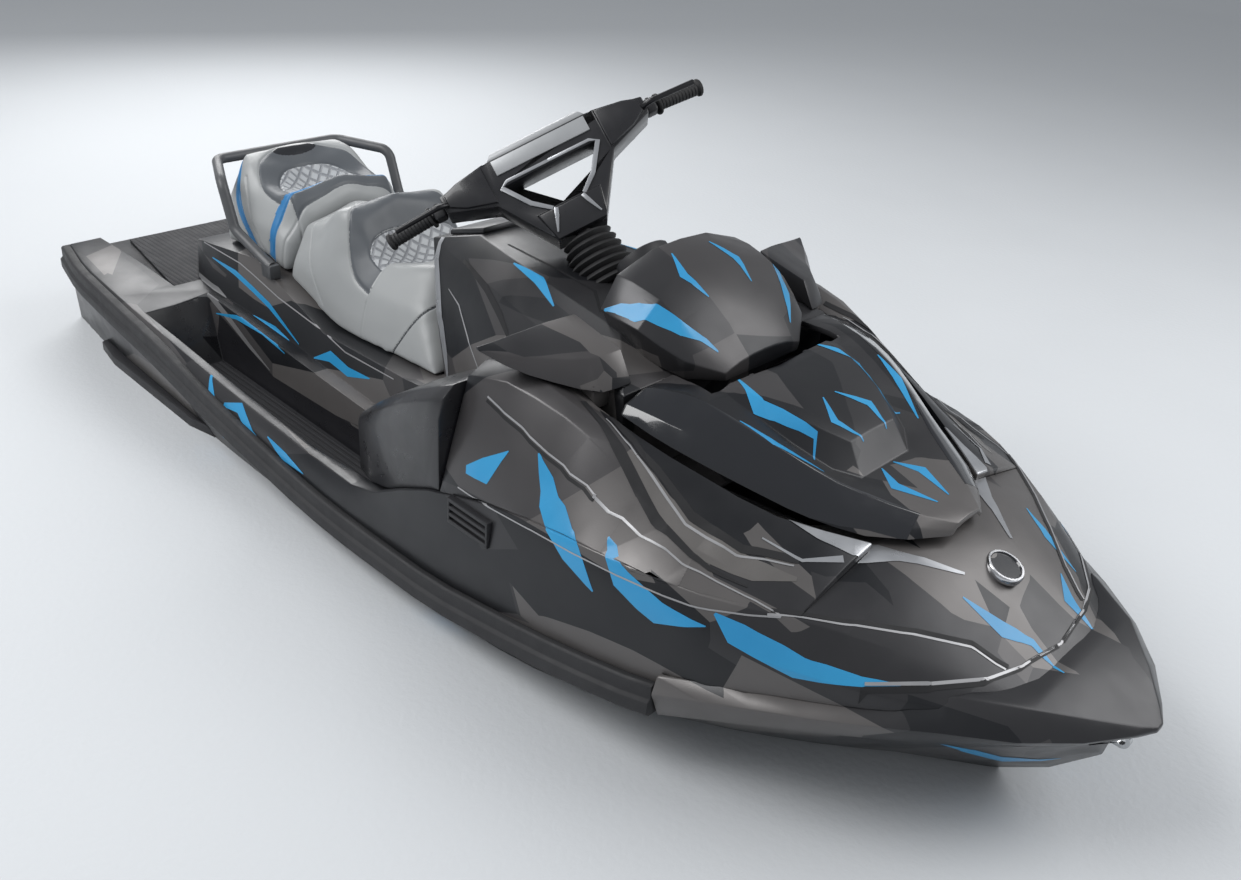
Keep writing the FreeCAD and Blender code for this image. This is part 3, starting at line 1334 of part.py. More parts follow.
# ---------------------------------------------------------------------------
# Engine, one plain block in its bay.
# ---------------------------------------------------------------------------
engine = doc.addObject("Part::Box", "engine")
engine.Label = "engine"
engine.setExpression("Length", "Sizes.engine_length")
engine.setExpression("Width", "Sizes.engine_width")
engine.setExpression("Height", "Sizes.engine_height")
engine.Placement = Placement(Vector(along(size("engine_x")), -size("engine_width") / 2,
                                    bay_floor + size("seam")), Rotation())
nodes["engine"] = engine

# ---------------------------------------------------------------------------
# Boarding step: a bent bar that folds up into the transom.
# ---------------------------------------------------------------------------
STEP_BEND = 26
STEP_EYE = 14
step_side = Vector(0, size("step_half"), 0)
step_rise = Vector(0, 0, size("step_height"))
step_path = [step_pivot - step_side, step_pivot - step_side + step_rise,
             step_pivot + step_side + step_rise, step_pivot + step_side]
step_shape = tube(step_path, size("step_radius"), STEP_BEND)
for side in (1, -1):
    eye_start = step_pivot + step_side * side - Vector(0, EYE_HALF, 0)
    step_shape = step_shape.fuse(Part.makeCylinder(STEP_EYE, 2 * EYE_HALF, eye_start,
                                                   Vector(0, 1, 0)))
step_bore = Part.makeCylinder(size("step_pin") + size("pin_gap"), 4 * size("step_half"),
                              step_pivot - step_side * 2, Vector(0, 1, 0))
feature("boarding_step", largest(step_shape.cut(step_bore)))

# ---------------------------------------------------------------------------
# Eyes for lines: bow, stern and tow.
# ---------------------------------------------------------------------------
x_axis = Vector(1, 0, 0)
y_axis = Vector(0, 1, 0)
z_axis = Vector(0, 0, 1)
STERN_REACH = 14
TOW_REACH = 32
BOW_REACH = 45


def eye_body(name, centre, reach_way, bore_way, bore, rim, reach):
    """Lug that reaches from its hole's centre to the face that it is bolted to."""
    turn = Rotation(reach_way, bore_way.cross(reach_way), bore_way, "ZXY")
    lug = new_body(name, Placement(centre, turn))
    plan = sketch_on(lug, "XY_Plane")
    add_circle(plan, "%s + %g" % (bore, rim))
    extruded("Pad", plan, "Sizes.eye_thick", both=True)
    plan = sketch_on(lug, "XY_Plane")
    add_box(plan, "0", "%g" % reach, "-%s - %g" % (bore, rim), "%s + %g" % (bore, rim))
    extruded("Pad", plan, "Sizes.eye_thick", both=True)
    plan = sketch_on(lug, "XY_Plane")
    add_circle(plan, bore)
    extruded("Pocket", plan, "3 * Sizes.eye_thick", both=True)
    return lug


BOW_EYE = (3322, 0, 486)
STERN_EYE_Y = 380
STERN_EYE_Z = 300
TOW_EYE_Z = 585
bow_lug = eye_body("bow_eye", at(*BOW_EYE), -x_axis, y_axis, "Sizes.eye_bore", 8, BOW_REACH)
bow_lug.Label = "bow_eye_blank"
moulded = doc.addObject("Part::Feature", "moulded_body")
moulded.Shape = body
bow_eye = doc.addObject("Part::Cut", "bow_eye_seated")
bow_eye.Base = bow_lug
bow_eye.Tool = moulded
bow_eye.Label = "bow_eye"
nodes["bow_eye"] = bow_eye
TRANSOM_X = HULL_LINES[0][0]
for side_name, side in SIDES:
    centre = at(TRANSOM_X, side * STERN_EYE_Y, STERN_EYE_Z) - x_axis * STERN_REACH
    eye_body("stern_eye_" + side_name, centre, x_axis, y_axis, "Sizes.eye_bore", 5, STERN_REACH)
centre = at(PEDESTAL_LINES[0][0], 0, TOW_EYE_Z) - x_axis * TOW_REACH
eye_body("tow_eye", centre, x_axis, z_axis, "Sizes.tow_eye_bore", 11, TOW_REACH)

# ---------------------------------------------------------------------------
# Steering: everything that turns with the bar, made straight ahead about the
# column and then turned to the angle at which it is held.
# ---------------------------------------------------------------------------
BAR_BEND = 60
span = size("bar_half_span")
cover_end = size("cover_end")
cover_drop = size("cover_drop")
grip_root = cover_end + 20
BAR_TIP = 4


def turned(name, shape):
    shape = shape.copy()
    shape.Placement = steering.multiply(shape.Placement)
    return feature(name, shape)


sweep = size("bar_sweep")
bar = tube([Vector(-sweep, BAR_TIP - span, 0), Vector(0, -grip_root, 0),
            Vector(0, grip_root, 0), Vector(-sweep, span - BAR_TIP, 0)],
           size("bar_radius"), BAR_BEND)
turned("handlebar", bar)

# The cover is drawn across the craft (y) and up the column (z), half of each outline.
COVER_TOP = 44
COVER_FOOT = 62
TOWER_THICKER = 6
COVER_PLATE = (("%g" % COVER_FOOT, "-Sizes.cover_drop"), ("150", "-62"),
               ("Sizes.cover_end", "-22"), ("Sizes.cover_end", "20"), ("130", "%g" % COVER_TOP))
COVER_SHROUD = (("146", "-54"), ("215", "-34"), ("Sizes.cover_end - 12", "-14"),
                ("Sizes.cover_end - 12", "14"), ("215", "27"), ("146", "38"))
COVER_TOWER = (("%g" % COVER_FOOT, "-Sizes.cover_drop"), ("80", "-124"))
COVER_WINDOW = (("30", "-122"), ("74", "-88"), ("118", "-26"))


def other_half(half):
    return [("-(%s)" % right, up) for right, up in reversed(half)]


cover = new_body("steering_cover", steering)
outline = sketch_on(cover, "YZ_Plane")
add_outline(outline, list(COVER_PLATE) + other_half(COVER_PLATE))
extruded("Pad", outline, "2 * Sizes.cover_half", both=True)
outline = sketch_on(cover, "YZ_Plane")
add_outline(outline, COVER_SHROUD)
add_outline(outline, other_half(COVER_SHROUD))
extruded("Pad", outline, "2 * (Sizes.cover_half + Sizes.cover_shroud)", both=True)
outline = sketch_on(cover, "YZ_Plane")
add_outline(outline, list(COVER_TOWER) + other_half(COVER_TOWER))
extruded("Pad", outline, "2 * (Sizes.cover_half + %g)" % TOWER_THICKER, both=True)
outline = sketch_on(cover, "YZ_Plane")
add_outline(outline, list(COVER_WINDOW) + other_half(COVER_WINDOW))
extruded("Pocket", outline, "4 * Sizes.cover_half", both=True)
outline = sketch_on(cover, "XZ_Plane")
add_circle(outline, "Sizes.bar_radius + Sizes.pin_gap")
extruded("Pocket", outline, "3 * Sizes.cover_end", both=True)

PAD_HALF = 128
PAD_INSET = 6
PAD_SLOPE = 16
PAD_CHAMFER = 6
pad = new_body("bar_pad", steering)
outline = sketch_on(pad, "YZ_Plane")
pad_low = "%g + Sizes.seam" % COVER_TOP
pad_high = "%g + Sizes.pad_thick" % COVER_TOP
pad_outline = (("%g" % PAD_HALF, pad_low), ("%g" % (PAD_HALF - PAD_SLOPE), pad_high))
add_outline(outline, list(pad_outline) + other_half(pad_outline))
pad_solid = extruded("Pad", outline, "2 * (Sizes.cover_half - %g)" % PAD_INSET, both=True)
pad_top = COVER_TOP + size("pad_thick")
chamfer_edges(pad_solid, PAD_CHAMFER, lambda edge: edge.BoundBox.ZMin > pad_top - 0.01
              and edge.BoundBox.YLength > 1)

column = doc.addObject("Part::Cylinder", "steering_column")
column.Label = "steering_column"
column.Placement = steering.multiply(Placement(Vector(0, 0, column_low), Rotation()))
column.setExpression("Radius", "Sizes.column_radius")
column.setExpression("Height", "(Sizes.bar_z - Sizes.console_top) * Sizes.depth / %g"
                     " / cos(Sizes.steering_tilt * 1deg) + Sizes.column_seat"
                     " - Sizes.cover_drop" % DRAWN_DEPTH)
nodes["steering_column"] = column

GRIP_FLANGE = 7
GRIP_CAP = 8
GRIP_START = 12
# Levers: forward from the bar, outwards and up, at the port side.
LEVER_RADIUS = 6.5
LEVER_BEND = 30
LEVER_POINTS = ((size("cover_half") - 8, 245, -6), (62, 268, -6), (44, 385, -6))
doc.recompute()
for side_name, side in SIDES:
    start = Vector(0, side * grip_root, 0)
    end = Vector(-sweep, side * (span - BAR_TIP), 0)
    way = (end - start).normalize()
    length = (end - start).Length - GRIP_START + BAR_TIP
    place = Placement(start + way * GRIP_START, Rotation(x_axis, way))
    grip = new_body("grip_" + side_name, steering.multiply(place))
    outline = sketch_on(grip, "XZ_Plane")
    add_outline(outline, (("0", "0"), ("0", "Sizes.grip_radius + Sizes.grip_flange"),
                          ("%g" % GRIP_FLANGE, "Sizes.grip_radius + Sizes.grip_flange"),
                          ("%g" % (GRIP_FLANGE + 3), "Sizes.grip_radius"),
                          ("%g" % (length - GRIP_CAP - 3), "Sizes.grip_radius"),
                          ("%g" % (length - GRIP_CAP), "Sizes.grip_radius + Sizes.grip_cap"),
                          ("%g" % (length - 2), "Sizes.grip_radius + Sizes.grip_cap"),
                          ("%g" % length, "Sizes.grip_radius + Sizes.grip_cap - 2"),
                          ("%g" % length, "0")))
    turned_about("Revolution", outline)
    outline = sketch_on(grip, "YZ_Plane")
    add_circle(outline, "Sizes.bar_radius + Sizes.pin_gap")
    extruded("Pocket", outline, "2 * %g" % (length - BAR_TIP), both=True)
    lever = tube([Vector(x, side * y, z) for x, y, z in LEVER_POINTS], LEVER_RADIUS, LEVER_BEND)
    lever.Placement = steering
    feature("lever_" + side_name, largest(lever.cut(cover.Shape)))

# Boot: a fixed cone round the column, from the console up to the turning cover.
BOOT_FOOT = 110
BOOT_LOW_RADIUS = 92
BOOT_HIGH_RADIUS = 60
boot_low = -(column_reach + BOOT_FOOT)
boot_high = -(cover_drop + size("boot_gap"))
boot = Part.makeCone(BOOT_LOW_RADIUS, BOOT_HIGH_RADIUS, boot_high - boot_low,
                     Vector(0, 0, boot_low))
boot.Placement = straight
boot = boot.cut(column_cylinder(column_bore, boot_low - 5, boot_high + 5))
feature("steering_boot", largest(boot.cut(console_shape).cut(nodes["gauge_pod"].Shape)))

# ---------------------------------------------------------------------------
# Check every sub-part, then write one file for each.
# ---------------------------------------------------------------------------
doc.recompute()
for item in doc.Objects:
    if any(word in item.State for word in ("Invalid", "Error")):
        raise RuntimeError("not built: " + item.Name)
for name, piece in nodes.items():
    shape = piece.Shape
    if shape.isNull() or not shape.isValid() or shape.Volume <= 0:
        raise RuntimeError("bad shape: " + name)
    if len(shape.Solids) != 1 or piece.Label != name:
        raise RuntimeError("not one labelled solid: " + name)
    box = shape.BoundBox
    print("%-24s faces %4d volume %10.1f cm3  x %6.0f %6.0f  y %5.0f %5.0f  z %5.0f %5.0f" % (
        name, len(shape.Faces), shape.Volume / 1000, box.XMin, box.XMax,
        box.YMin, box.YMax, box.ZMin, box.ZMax))
    shape.exportStep("parts/%s.step" % name)
print(len(nodes), "nodes")
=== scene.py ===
import math
import bmesh
import bpy
from mathutils import Euler, Matrix, Vector
from mathutils.bvhtree import BVHTree


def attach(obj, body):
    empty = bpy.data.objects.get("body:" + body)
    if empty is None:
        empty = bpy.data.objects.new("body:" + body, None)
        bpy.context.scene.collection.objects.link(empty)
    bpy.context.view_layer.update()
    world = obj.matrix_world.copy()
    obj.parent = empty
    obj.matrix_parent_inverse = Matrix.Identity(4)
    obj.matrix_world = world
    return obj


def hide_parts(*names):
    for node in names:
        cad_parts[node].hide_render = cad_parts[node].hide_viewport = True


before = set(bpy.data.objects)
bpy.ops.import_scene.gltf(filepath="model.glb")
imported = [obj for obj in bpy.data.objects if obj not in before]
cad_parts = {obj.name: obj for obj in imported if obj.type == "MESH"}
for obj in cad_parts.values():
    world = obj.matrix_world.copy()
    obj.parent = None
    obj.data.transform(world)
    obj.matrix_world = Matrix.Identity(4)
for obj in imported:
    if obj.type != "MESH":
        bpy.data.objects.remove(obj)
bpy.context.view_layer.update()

# ---------------------------------------------------------------------------
# Camera, light and floor. The camera stands off the starboard bow, above the
# craft's own height. The floor lies at the waterline that the hull floats to.
# ---------------------------------------------------------------------------
scene = bpy.context.scene
scene.view_settings.view_transform = "Standard"

camera_data = bpy.data.cameras.new("camera")
camera_data.sensor_width = 36.0
camera_data.lens = 33.83
camera = bpy.data.objects.new("camera", camera_data)
camera.location = (2.0139, -1.8294, 1.6946)
camera.rotation_euler = Euler((math.radians(59.895), math.radians(-3.869), math.radians(44.679)))
scene.collection.objects.link(camera)
scene.camera = camera


def area_light(name, place, target, width, power):
    data = bpy.data.lights.new(name, "AREA")
    data.shape = "SQUARE"
    data.size = width
    data.energy = power
    lamp = bpy.data.objects.new(name, data)
    lamp.location = place
    lamp.rotation_euler = (Vector(target) - Vector(place)).to_track_quat("-Z", "Y").to_euler()
    scene.collection.objects.link(lamp)


area_light("key_light", (-1.5, -3.2, 4.2), (0.3, 0.0, 0.3), 3.0, 190.0)
area_light("sky_light", (3.2, 2.6, 3.4), (0.5, 0.0, 0.3), 3.5, 130.0)
area_light("rear_light", (-4.0, 1.5, 2.6), (-0.5, 0.0, 0.4), 2.5, 90.0)

world = bpy.data.worlds.new("studio")
scene.world = world
world.use_nodes = True
world.node_tree.nodes["Background"].inputs["Color"].default_value = (0.80, 0.83, 0.87, 1.0)
world.node_tree.nodes["Background"].inputs["Strength"].default_value = 0.45


def object_noise(tree, scale, detail=3.0, stretch=(1.0, 1.0, 1.0)):
    """Cloudy value over a piece's own coordinates."""
    place = tree.nodes.new("ShaderNodeTexCoord")
    mapping = tree.nodes.new("ShaderNodeMapping")
    mapping.inputs["Scale"].default_value = stretch
    cloud = tree.nodes.new("ShaderNodeTexNoise")
    cloud.inputs["Scale"].default_value = scale
    cloud.inputs["Detail"].default_value = detail
    tree.links.new(place.outputs["Object"], mapping.inputs["Vector"])
    tree.links.new(mapping.outputs["Vector"], cloud.inputs["Vector"])
    return cloud.outputs["Fac"]


def spread_value(tree, value, low, high, start=0.3, end=0.7):
    """The part of a value between start and end, spread from low to high."""
    ranged = tree.nodes.new("ShaderNodeMapRange")
    ranged.inputs["From Min"].default_value = start
    ranged.inputs["From Max"].default_value = end
    ranged.inputs["To Min"].default_value = low
    ranged.inputs["To Max"].default_value = high
    tree.links.new(value, ranged.inputs["Value"])
    return ranged.outputs["Result"]


def raised(tree, height, relief, strength=0.5):
    """Relief in metres on a material's surface."""
    bump = tree.nodes.new("ShaderNodeBump")
    bump.inputs["Strength"].default_value = strength
    bump.inputs["Distance"].default_value = relief
    tree.links.new(height, bump.inputs["Height"])
    tree.links.new(bump.outputs["Normal"], tree.nodes["Principled BSDF"].inputs["Normal"])


def mixed(tree, share, dark, light):
    """Colour between two, each a colour or another node's output."""
    mix = tree.nodes.new("ShaderNodeMix")
    mix.data_type = "RGBA"
    tree.links.new(share, mix.inputs["Factor"])
    for socket, colour in ((mix.inputs["A"], dark), (mix.inputs["B"], light)):
        if isinstance(colour, tuple):
            socket.default_value = (*colour, 1.0)
        else:
            tree.links.new(colour, socket)
    return mix.outputs["Result"]


def finish(name, dark, light, roughness, metallic=0.0, coat=0.0, grain=700.0, relief=0.0002,
           cloud=6.0):
    """Material whose colour and gloss wander a little, with a fine moulded grain."""
    material = bpy.data.materials.new(name)
    material.use_nodes = True
    tree = material.node_tree
    shader = tree.nodes["Principled BSDF"]
    shader.inputs["Metallic"].default_value = metallic
    shader.inputs["Coat Weight"].default_value = coat
    tree.links.new(mixed(tree, object_noise(tree, cloud), dark, light),
                   shader.inputs["Base Color"])
    gloss = object_noise(tree, cloud * 4.0, 5.0)
    tree.links.new(spread_value(tree, gloss, roughness - 0.05, roughness + 0.08),
                   shader.inputs["Roughness"])
    raised(tree, object_noise(tree, grain, 2.0), relief)
    return material


floor_mesh = bmesh.new()
bmesh.ops.create_grid(floor_mesh, x_segments=1, y_segments=1, size=14.0)
floor_data = bpy.data.meshes.new("floor")
floor_mesh.to_mesh(floor_data)
floor_mesh.free()
floor = bpy.data.objects.new("floor", floor_data)
scene.collection.objects.link(floor)
floor.data.materials.append(finish("pale_floor", (0.60, 0.62, 0.64), (0.64, 0.66, 0.68), 0.8,
                                   grain=60.0, relief=0.002, cloud=0.7))

# ---------------------------------------------------------------------------
# Hull, deck and cowlings. They are moulded in glass fibre and plastic, rounded
# a few millimetres at each edge, and covered in a satin vinyl wrap that is cut
# into long splinters of warm grey, charcoal and near-black.
# ---------------------------------------------------------------------------
NEAR_BLACK = (0.010, 0.011, 0.014)
CHARCOAL = (0.028, 0.028, 0.031)
MIDDLE_GREY = (0.060, 0.057, 0.059)
WARM_GREY = (0.115, 0.108, 0.106)


def splinters(tree, turn, stretch, tones):
    """A random tone for each long angular cell: pairs of start and grey, lowest first."""
    place = tree.nodes.new("ShaderNodeTexCoord")
    mapping = tree.nodes.new("ShaderNodeMapping")
    mapping.inputs["Rotation"].default_value = [math.radians(angle) for angle in turn]
    mapping.inputs["Scale"].default_value = stretch
    cells = tree.nodes.new("ShaderNodeTexVoronoi")
    cells.inputs["Scale"].default_value = 1.0
    split = tree.nodes.new("ShaderNodeSeparateColor")
    ramp = tree.nodes.new("ShaderNodeValToRGB")
    ramp.color_ramp.interpolation = "CONSTANT"
    while len(ramp.color_ramp.elements) < len(tones):
        ramp.color_ramp.elements.new(1.0)
    for element, (start, colour) in zip(ramp.color_ramp.elements, tones):
        element.position = start
        element.color = (*colour, 1.0)
    tree.links.new(place.outputs["Object"], mapping.inputs["Vector"])
    tree.links.new(mapping.outputs["Vector"], cells.inputs["Vector"])
    tree.links.new(cells.outputs["Color"], split.inputs["Color"])
    tree.links.new(split.outputs["Red"], ramp.inputs["Fac"])
    return ramp.outputs["Color"]


def wrap_material(name):
    material = bpy.data.materials.new(name)
    material.use_nodes = True
    tree = material.node_tree
    shader = tree.nodes["Principled BSDF"]
    shader.inputs["Metallic"].default_value = 0.35
    shader.inputs["Coat Weight"].default_value = 0.12
    shader.inputs["Coat Roughness"].default_value = 0.25
    broad = splinters(tree, (20, 35, 50), (2.1, 4.6, 3.6),
                      ((0.0, MIDDLE_GREY), (0.22, WARM_GREY), (0.40, CHARCOAL), (0.66, NEAR_BLACK)))
    slim = splinters(tree, (-30, 25, -24), (2.2, 9.0, 7.0),
                     ((0.0, CHARCOAL), (0.30, NEAR_BLACK), (0.78, WARM_GREY)))
    chosen = splinters(tree, (10, -20, 28), (1.8, 7.0, 6.0),
                       ((0.0, (0.0, 0.0, 0.0)), (0.58, (1.0, 1.0, 1.0))))
    pattern = mixed(tree, chosen, broad, slim)
    dust = spread_value(tree, object_noise(tree, 3.0, 6.0), 0.0, 0.05)
    tree.links.new(mixed(tree, dust, pattern, (0.20, 0.19, 0.18)), shader.inputs["Base Color"])
    tree.links.new(spread_value(tree, object_noise(tree, 14.0, 6.0), 0.30, 0.42),
                   shader.inputs["Roughness"])
    raised(tree, object_noise(tree, 260.0, 2.0), 0.0002, 0.3)
    return material


JOIN = 0.00003
FLAT_TURN = math.radians(0.5)
BEVEL_TURN = math.radians(24.0)
CREASE = math.radians(34.0)
SHORTEST_BEVEL = 2.5


def merged(node):
    """A bmesh copy of a moulding, with its facets joined into whole panels."""
    mesh = bmesh.new()
    mesh.from_mesh(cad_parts[node].data)
    bmesh.ops.remove_doubles(mesh, verts=mesh.verts, dist=JOIN)
    bmesh.ops.dissolve_limit(mesh, angle_limit=FLAT_TURN, verts=mesh.verts, edges=mesh.edges)
    return mesh


def creased(mesh):
    """Shades a mesh smooth, apart from the edges that turn sharply."""
    for face in mesh.faces:
        face.smooth = True
    for edge in mesh.edges:
        edge.smooth = edge.calc_face_angle(0.0) < CREASE
    return mesh


def bevelled(mesh, edges, radius, segments=2, clamped=True):
    bmesh.ops.bevel(mesh, geom=edges, offset=radius, offset_type="OFFSET", segments=segments,
                    profile=0.5, affect="EDGES", clamp_overlap=clamped, material=-1)


def rounded(mesh, radius):
    """Bevels the edges that turn sharply and leaves fair surfaces smooth."""
    edges = [edge for edge in mesh.edges if edge.is_manifold
             and edge.calc_face_angle(0.0) > BEVEL_TURN
             and edge.calc_length() > SHORTEST_BEVEL * radius]
    bevelled(mesh, edges, radius, clamped=False)
    bmesh.ops.remove_doubles(mesh, verts=mesh.verts, dist=JOIN)
    return creased(mesh)


def piece(name, mesh, material, body="root", replaced=()):
    """The finished mesh as a piece of the craft that moves with a body."""
    data = bpy.data.meshes.new(name)
    mesh.to_mesh(data)
    mesh.free()
    data.materials.append(material)
    item = bpy.data.objects.new(name, data)
    scene.collection.objects.link(item)
    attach(item, body)
    if replaced:
        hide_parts(*replaced)
    return item


def moulding(node, material, radius=0.003, body="root"):
    """A CAD node's moulding with its edges rounded, which stands for that node."""
    return piece(node + "_moulding", rounded(merged(node), radius), material, body, (node,))


SIDES = (("left", 1.0), ("right", -1.0))
wrap = wrap_material("splinter_wrap")
skins = {}
for node in ("hull", "deck", "bow_bumper", "side_fairing_left", "side_fairing_right",
             "console", "windshield", "mirror_housing_left", "mirror_housing_right"):
    skins[node] = moulding(node, wrap)
skins["hood"] = moulding("hood", wrap, body="hood")

# ---------------------------------------------------------------------------
# Blue slashes, and fine pale edge lines that are painted highlights. They are cut
# from thin film and laid on the wrap, so each follows the panel below it and wraps round its edges.
# ---------------------------------------------------------------------------
FILM_LIFT = 0.0006
FILM_JOIN = 0.00002
NEAREST = 0.00001
CUT_SNAP = 0.000005
SHORTEST_CUT = 0.0001
SIGHT_START = 0.002
LEAST_FACING = 0.06

film_blue = finish("blue_film", (0.016, 0.225, 0.50), (0.035, 0.34, 0.62), 0.34, coat=0.15,
                   grain=300.0, relief=0.0001, cloud=5.0)
# Painted highlight: pale grey film standing in for light caught on rounded panel edges and creases.
film_edge_highlight = finish("painted_edge_highlight", (0.30, 0.30, 0.31), (0.42, 0.42, 0.43), 0.35, metallic=0.4,
                   grain=300.0, relief=0.0001)
film_warm = finish("warm_film", (0.120, 0.113, 0.108), (0.165, 0.156, 0.150), 0.34, metallic=0.35,
                   grain=300.0, relief=0.0001, cloud=4.0)
film_pale = finish("pale_film", (0.20, 0.20, 0.205), (0.30, 0.30, 0.305), 0.36, metallic=0.3,
                   grain=300.0, relief=0.0001, cloud=4.0)
# Black film for panel joints, and painted shade at the shoulder recess and under the hood's edge.
film_gap_and_shade = finish("gap_and_shade_black", (0.004, 0.004, 0.005), (0.008, 0.008, 0.010), 0.6, grain=300.0)

# What each view of the craft has to its right, above and towards the viewer.
VIEWS = {"top": (Vector((1, 0, 0)), Vector((0, 1, 0)), Vector((0, 0, 1))),
         "left": (Vector((1, 0, 0)), Vector((0, 0, 1)), Vector((0, 1, 0))),
         "right": (Vector((1, 0, 0)), Vector((0, 0, 1)), Vector((0, -1, 0)))}


def stroke(points):
    """Convex outlines along a line whose points are place, height and width."""
    edges = []
    for index, (right, up, width) in enumerate(points):
        before = points[max(index - 1, 0)]
        after = points[min(index + 1, len(points) - 1)]
        way = Vector((after[0] - before[0], after[1] - before[1])).normalized()
        side = Vector((-way.y, way.x)) * width / 2.0
        edges.append((Vector((right, up)) + side, Vector((right, up)) - side))
    return [[start[0], start[1], end[1], end[0]] for start, end in zip(edges, edges[1:])]


def strokes(lines):
    return [outline for line in lines for outline in stroke(line)]


def added(mesh, part):
    """Moves a part's mesh into another mesh."""
    scrap = bpy.data.meshes.new("scrap")
    part.to_mesh(scrap)
    part.free()
    mesh.from_mesh(scrap)
    bpy.data.meshes.remove(scrap)


def clipped(item, outline, view):
    """Copies of the panels that face the view, cut to one convex outline."""
    right, up, facing = view
    cut = bmesh.new()
    corners = [right * point[0] + up * point[1] for point in outline]
    low = [min(point[axis] for point in outline) for axis in (0, 1)]
    high = [max(point[axis] for point in outline) for axis in (0, 1)]
    for face in item.data.polygons:
        if face.normal.dot(facing) < LEAST_FACING:
            continue
        points = [item.data.vertices[index].co for index in face.vertices]
        across = [point.dot(right) for point in points]
        along = [point.dot(up) for point in points]
        if (max(across) > low[0] and min(across) < high[0]
                and max(along) > low[1] and min(along) < high[1]):
            cut.faces.new([cut.verts.new(point) for point in points])
    bmesh.ops.remove_doubles(cut, verts=cut.verts, dist=NEAREST)
    middle = sum(corners, Vector()) / len(corners)
    for start, end in zip(corners, corners[1:] + corners[:1]):
        if (end - start).length < SHORTEST_CUT:
            continue
        outward = (end - start).cross(facing)
        if outward.dot(middle - start) > 0.0:
            outward = -outward
        bmesh.ops.bisect_plane(cut, geom=cut.verts[:] + cut.edges[:] + cut.faces[:],
                               dist=CUT_SNAP, plane_co=start, plane_no=outward,
                               clear_outer=True)
    return cut


def film(name, under, view, outlines, material, body="root", lift=FILM_LIFT,
         band=(0.0, 2.0), seen=True):
    """Thin sheet laid on pieces, cut to convex outlines drawn in one view of the craft.

    It covers what lies in a band of half widths and, if seen, in sight from outside.
    """
    facing = VIEWS[view][2]
    trees = [BVHTree.FromPolygons([vertex.co for vertex in item.data.vertices],
                                  [face.vertices[:] for face in item.data.polygons])
             for item in under]
    sheet = bmesh.new()
    for outline in outlines:
        for item in under:
            cut = clipped(item, outline, VIEWS[view])
            hidden = []
            for face in cut.faces:
                middle = face.calc_center_median()
                start = middle + facing * SIGHT_START
                if not band[0] <= abs(middle.y) <= band[1] or (
                        seen and any(tree.ray_cast(start, facing)[0] is not None
                                     for tree in trees)):
                    hidden.append(face)
            bmesh.ops.delete(cut, geom=hidden, context="FACES")
            added(sheet, cut)
    bmesh.ops.remove_doubles(sheet, verts=sheet.verts, dist=FILM_JOIN)
    sheet.normal_update()
    for vertex in sheet.verts:
        vertex.co += vertex.normal * lift
    return piece(name, creased(sheet), material, body)


def opposite(points):
    """The same line on the other side of the craft, seen from above."""
    return [(x, -y, width) for x, y, width in points]


def mirrored(lines):
    """Outlines of lines seen from above, each on both sides of the craft."""
    return [outline for line in lines for outline in stroke(line) + stroke(opposite(line))]


# Slashes seen from each side: place along the craft, height and width.
SIDE_SLASHES = (
    ((0.590, 0.530, 0.004), (0.650, 0.460, 0.044), (0.740, 0.400, 0.050), (0.810, 0.350, 0.004)),
    ((0.800, 0.450, 0.003), (0.860, 0.400, 0.040), (0.950, 0.370, 0.044), (1.040, 0.380, 0.002)),
    ((1.045, 0.405, 0.004), (1.090, 0.382, 0.036), (1.200, 0.350, 0.036), (1.345, 0.348, 0.002)),
    ((0.520, 0.508, 0.002), (0.474, 0.448, 0.052), (0.420, 0.428, 0.016)),
    ((1.420, 0.230, 0.003), (1.440, 0.170, 0.030), (1.475, 0.120, 0.044), (1.560, 0.150, 0.002)),
)
AFT_SLASHES = (
    ((-0.640, 0.232, 0.003), (-0.590, 0.176, 0.026), (-0.545, 0.158, 0.004)),
    ((-0.560, 0.176, 0.004), (-0.470, 0.196, 0.026), (-0.395, 0.158, 0.020),
     (-0.330, 0.148, 0.002)),
    ((-0.330, 0.176, 0.003), (-0.250, 0.158, 0.022), (-0.160, 0.150, 0.002)),
    ((-1.460, 0.245, 0.003), (-1.410, 0.205, 0.028), (-1.375, 0.225, 0.003)),
    ((-1.020, 0.205, 0.003), (-0.940, 0.222, 0.022), (-0.880, 0.205, 0.002)),
    ((0.250, 0.060, 0.002), (0.340, 0.030, 0.030), (0.450, 0.018, 0.002)),
    ((-0.700, 0.080, 0.002), (-0.610, 0.050, 0.030), (-0.500, 0.060, 0.002)),
)
GUNWALE_BAND = (0.45, 2.0)
# Slashes seen from above: place along the craft and to port, and width.
TOP_SLASHES = (
    ((1.330, -0.130, 0.003), (1.405, -0.100, 0.030), (1.450, -0.060, 0.018),
     (1.520, -0.062, 0.003)),
    ((1.395, 0.150, 0.003), (1.440, 0.110, 0.030), (1.500, 0.100, 0.003)),
    ((1.260, 0.245, 0.003), (1.330, 0.215, 0.026), (1.405, 0.205, 0.002)),
)
for side_name, side in SIDES:
    under = [skins[node] for node in ("hull", "deck", "bow_bumper", "side_fairing_" + side_name)]
    film("blue_slashes_" + side_name, under, side_name, strokes(SIDE_SLASHES), film_blue)
    film("blue_gunwale_" + side_name, under[:2], side_name, strokes(AFT_SLASHES), film_blue,
         band=GUNWALE_BAND)
film("blue_slashes_nose", [skins["deck"], skins["bow_bumper"]], "top",
     strokes(TOP_SLASHES), film_blue)

